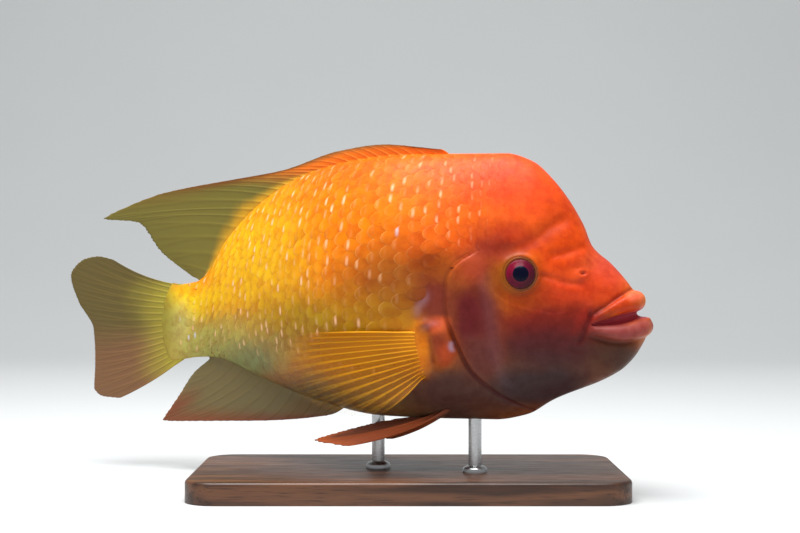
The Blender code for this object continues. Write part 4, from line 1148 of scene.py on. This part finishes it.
root_line = [
    (share, side_at(back, height) + rise - 1.6)
    for (share, back, height), rise in zip(PECTORAL_ROOT, root_rises)
]
tip_shares = np.linspace(0.0, 1.0, 33)
tips = zip(tip_shares, along(PECTORAL_EDGE, tip_shares), along(PECTORAL_EDGE, tip_shares, 2))
tip_line = [(share, side_at(back, max(height, PECTORAL_LOWEST)) + 10.0) for share, back, height in tips]
for hand, word in ((1, "right"), (-1, "left")):
    breast_fins.append(make_fin(
        "breast_fin_" + word, "pectoral_fin_" + word, 14, 18, 48,
        lambda s: (along(PECTORAL_ROOT, s) - 0.8, hand * along(root_line, s), along(PECTORAL_ROOT, s, 2)),
        lambda s: (along(PECTORAL_EDGE, s), hand * along(tip_line, s), along(PECTORAL_EDGE, s, 2)),
        lambda s: (0.0 * s, hand * 1.2 + 0.0 * s, 1.0 - 2.0 * s),
        [(0.3, 0.26), (0.6, 0.12)], 0.34, 0.3, 0.0, 0.02,
        lambda s, o: hand * 0.7 * np.sin(8.0 * s + 1.5 * o) * o * o,
    ))
    belly_fins.append(make_fin(
        "belly_fin_" + word, "pelvic_fin_" + word, 6, 20, 44,
        lambda s: (
            90.0 + 3.0 * s, hand * (11.5 - 6.5 * s), along(BELLY_LINE, 90.0 + 0.0 * s) + 5.4 - 3.4 * s,
        ),
        lambda s: (along(PELVIC_EDGE, s), hand * along(PELVIC_EDGE, s, 2), along(PELVIC_EDGE, s, 3)),
        lambda s: (0.0 * s, 0.0 * s, -2.6 * (1.0 - s)),
        [(0.3, 0.26), (0.6, 0.12)], 0.4, 0.5, 0.0, 0.02,
    ))

FIN_VALUES = (
    "Ray Show", "Root Reach", "Web Cover", "Tip Cover", "Rear Cover", "Front Reach", "Edge Reach",
    "Edge Start",
)
FIN_COLOURS = ("Root", "Web", "Edge", "Ray", "Front")
rayed = new_group(
    "rayed_fin",
    {**dict.fromkeys(FIN_VALUES, "NodeSocketFloat"), **dict.fromkeys(FIN_COLOURS, "NodeSocketColor")},
    {"Colour": "NodeSocketColor", "Cover": "NodeSocketFloat", "Height": "NodeSocketFloat"},
)
tree = rayed
given = wired(tree, "NodeGroupInput").outputs
crest, out, share = split(tree, kept(tree, "fan"))
patches = clouds(tree, kept(tree, "lie"), 0.12, 3.0)
reach = summed(tree, "ADD", out, ranged(tree, patches, 0.3, 0.7, -0.02, 0.02))
rooted = ranged(tree, reach, 0.0, given["Root Reach"], 1.0, 0.0)
shifted = summed(tree, "ADD", share, ranged(tree, patches, 0.3, 0.7, -0.012, 0.012))
ahead = ranged(tree, shifted, times(tree, given["Front Reach"], 0.6), given["Front Reach"], 1.0, 0.0)
edge_end = summed(tree, "ADD", given["Edge Reach"], 0.12)
edged = times(
    tree,
    ranged(tree, share, given["Edge Reach"], edge_end, 1.0, 0.0),
    ranged(tree, reach, given["Edge Start"], 0.98),
)
joint_place = wired(tree, "ShaderNodeCombineXYZ", {0: times(tree, out, 90.0), 1: times(tree, share, 40.0)})
joints = clouds(tree, joint_place.outputs[0], 1.0, 1.0)
on_ray = times(tree, crest, given["Ray Show"], ranged(tree, joints, 0.3, 0.6, 0.7, 1.0))
colour = given["Web"]
for amount, title in ((ahead, "Front"), (rooted, "Root"), (edged, "Edge"), (on_ray, "Ray")):
    colour = mixed(tree, amount, colour, given[title])
cover = times(
    tree,
    ranged(tree, out, 0.25, 0.95, given["Web Cover"], given["Tip Cover"]),
    ranged(tree, share, 0.2, 0.8, 1.0, given["Rear Cover"]),
)
cover = summed(tree, "ADD", cover, times(tree, crest, ranged(tree, out, 0.2, 0.85, 0.4, 0.04)))
wired(tree, "NodeGroupOutput", {"Colour": colour, "Cover": cover, "Height": joints})

# Fins of one look: values as titled above, and the colours of root, web, edge, ray and front
for name, pieces, values, tints in (
    (
        "back_fin_web", [dorsal], (0.22, 0.22, 0.95, 0.92, 1.0, 0.68, 0.64, 0.45),
        ((210, 156, 34), (122, 112, 50), (140, 86, 36), (98, 84, 40), (230, 114, 22)),
    ),
    (
        "anal_fin_web", [anal], (0.22, 0.25, 0.95, 0.9, 1.0, 0.4, 0.74, 0.5),
        ((124, 108, 66), (124, 110, 72), (136, 76, 46), (96, 82, 54), (126, 98, 58)),
    ),
    (
        "tail_fin_web", [caudal], (0.2, 0.62, 0.95, 0.88, 1.0, 0.7, -0.2, 0.9),
        ((176, 162, 58), (130, 92, 62), (104, 88, 52), (132, 106, 64), (104, 90, 46)),
    ),
    (
        "breast_fin_web", breast_fins, (0.55, 0.2, 0.84, 0.02, 0.26, 0.4, -0.2, 0.9),
        ((228, 142, 8), (186, 114, 4), (180, 120, 20), (244, 178, 8), (200, 122, 2)),
    ),
    (
        "belly_fin_web", belly_fins, (0.4, 0.32, 0.96, 0.92, 1.0, 0.3, 0.5, 0.8),
        ((88, 46, 34), (122, 66, 44), (190, 92, 42), (148, 76, 46), (172, 84, 44)),
    ),
):
    material, tree, shader = new_material(name)
    inputs = dict(zip(FIN_VALUES, values)) | {key: swatch(*tint) for key, tint in zip(FIN_COLOURS, tints)}
    look = wired(tree, "ShaderNodeGroup", inputs, node_tree=rayed).outputs
    fed(tree, shader, {
        "Base Color": look["Colour"],
        "Alpha": look["Cover"],
        "Normal": bumped(tree, look["Height"], 0.2),
        "Roughness": 0.5,
        "Specular IOR Level": 0.2,
        "Subsurface Weight": 0.2,
        "Subsurface Radius": (0.004, 0.002, 0.001),
    })
    for piece in pieces:
        piece.data.materials.append(material)

# The stand
# A flat base of dark oiled walnut with rounded corners, and two short rods of brushed steel that stand in
# turned collars and end in the belly. It is the museum's own and isn't part of the animal.
BASE_SIZE = (0.196, 0.104, 0.010)
bm = bmesh.new()
bmesh.ops.create_cube(bm, size=1.0)
bmesh.ops.transform(bm, matrix=Matrix.Diagonal((*BASE_SIZE, 1.0)), verts=bm.verts)
bmesh.ops.translate(bm, vec=(0.0, 0.0, 0.5 * BASE_SIZE[2]), verts=bm.verts)
for radius, segments in ((0.014, 10), (0.0015, 4)):
    if radius > 0.01:  # the upright corners, then the rim of the top
        chosen = [edge for edge in bm.edges if abs(edge.verts[0].co.z - edge.verts[1].co.z) > 0.005]
    else:
        sharp = [edge for edge in bm.edges if edge.calc_face_angle(0.0) > 1.0]
        chosen = [edge for edge in sharp if min(vertex.co.z for vertex in edge.verts) > 0.009]
    bmesh.ops.bevel(
        bm, geom=chosen, offset=radius, offset_type="OFFSET", affect="EDGES", segments=segments,
        profile=0.5, material=-1,
    )
bmesh.ops.recalc_face_normals(bm, faces=bm.faces)
base = new_piece("stand_plinth", settled(bm, "stand_plinth"))
base.data.set_sharp_from_angle(angle=math.radians(40.0))
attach(base, "root")
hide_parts("stand_base")
material, tree, shader = new_material("oiled_walnut")
spots = object_place(tree)
board = wired(tree, "ShaderNodeMapping", {"Vector": spots, "Scale": (5.0, 60.0, 60.0)}).outputs[0]
growth = clouds(tree, board, 1.0, 3.0, 0.55)
bands = summed(tree, "PINGPONG", times(tree, growth, 9.0), 1.0)
fibre = wired(tree, "ShaderNodeMapping", {"Vector": spots, "Scale": (60.0, 1500.0, 1500.0)}).outputs[0]
pores = clouds(tree, fibre, 1.0, 2.0, 0.6)
colour = mixed(tree, ranged(tree, bands, 0.0, 1.0), swatch(58, 34, 22), swatch(104, 66, 42))
colour = mixed(tree, ranged(tree, pores, 0.52, 0.7, 0.0, 0.7), colour, swatch(34, 20, 14))
fed(tree, shader, {
    "Base Color": colour,
    "Roughness": ranged(tree, pores, 0.4, 0.7, 0.34, 0.55),
    "Normal": bumped(tree, pores, 0.25, invert=True),
})
base.data.materials.append(material)

steel, tree, shader = new_material("brushed_steel")
spots = object_place(tree)
brushing = wired(tree, "ShaderNodeMapping", {"Vector": spots, "Scale": (300.0, 300.0, 9000.0)}).outputs[0]
lines = clouds(tree, brushing, 1.0, 2.0)
fed(tree, shader, {
    "Base Color": mixed(tree, lines, swatch(176, 178, 180), swatch(206, 206, 206)),
    "Roughness": ranged(tree, lines, 0.3, 0.7, 0.24, 0.4),
    "Normal": bumped(tree, lines, 0.12, 0.00005),
    "Metallic": 1.0,
})
COLLAR = [(0.0, 10.0), (5.6, 10.0), (5.6, 11.4), (5.0, 12.4), (3.7, 13.0), (3.0, 13.3)]  # radius, height
for name, back_at in (("front", 80.0), ("rear", 127.0)):
    foot = Vector(place(back_at, 0.0, 10.0))
    top = float(along(BELLY_LINE, back_at)) + 8.0
    bm = bmesh.new()
    line = [bm.verts.new((foot.x + r * MM, foot.y, z * MM)) for r, z in [*COLLAR, (3.0, top), (0.0, top)]]
    edges = [bm.edges.new(pair) for pair in zip(line, line[1:])]
    bmesh.ops.spin(
        bm, geom=line + edges, cent=(foot.x, foot.y, 0.0), axis=(0.0, 0.0, 1.0), angle=2.0 * math.pi,
        steps=48, use_merge=True,
    )
    bmesh.ops.remove_doubles(bm, verts=bm.verts, dist=1e-6)
    bmesh.ops.recalc_face_normals(bm, faces=bm.faces)
    rod = new_piece("stand_post_" + name, settled(bm, "stand_post_" + name))
    rod.data.set_sharp_from_angle(angle=math.radians(35.0))
    rod.data.materials.append(steel)
    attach(rod, "root")
    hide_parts("stand_rod_" + name)

# Floor and light
# A plain pale floor that sweeps up into a backdrop, under a wide soft panel overhead, a second one for the
# backdrop and a weak even sky, so that back and hump are bright and throat and belly lie in shade.
SWEEP_START, SWEEP_RADIUS = 1.0, 0.9  # where the floor starts to rise into the backdrop
bm = bmesh.new()
bmesh.ops.create_grid(bm, x_segments=2, y_segments=96, size=4.0)
for vertex in bm.verts:
    past = vertex.co.y - SWEEP_START
    if past > 0.0:
        bend = min(past, SWEEP_RADIUS * math.pi / 2.0)
        vertex.co.y = SWEEP_START + SWEEP_RADIUS * math.sin(bend / SWEEP_RADIUS)
        vertex.co.z = SWEEP_RADIUS - SWEEP_RADIUS * math.cos(bend / SWEEP_RADIUS) + past - bend
floor = new_piece("floor", settled(bm, "floor"))
material, tree, shader = new_material("pale_floor")
colour = mixed(tree, clouds(tree, object_place(tree), 3.0), swatch(206, 208, 208), swatch(212, 214, 214))
fed(tree, shader, {"Base Color": colour, "Roughness": 0.8})
floor.data.materials.append(material)

world = bpy.data.worlds.new("studio")
world.use_nodes = True
sky = world.node_tree.nodes["Background"]
fed(world.node_tree, sky, {"Color": (0.86, 0.88, 0.9, 1.0), "Strength": 0.4})
bpy.context.scene.world = world
for name, spot, aim, size, power in (
    ("overhead", (-0.1, -0.25, 1.0), (0.0, 0.0, 0.08), (0.9, 0.6), 17.0),
    ("backdrop_light", (0.0, 0.2, 1.6), (0.0, 1.6, 0.2), (1.6, 0.5), 12.0),
):
    light = bpy.data.lights.new(name, "AREA")
    light.shape = "RECTANGLE"
    light.size, light.size_y = size
    light.energy = power
    lamp = bpy.data.objects.new(name, light)
    lamp.location = spot
    lamp.rotation_euler = (Vector(aim) - Vector(spot)).to_track_quat("-Z", "Y").to_euler()
    bpy.context.scene.collection.objects.link(lamp)
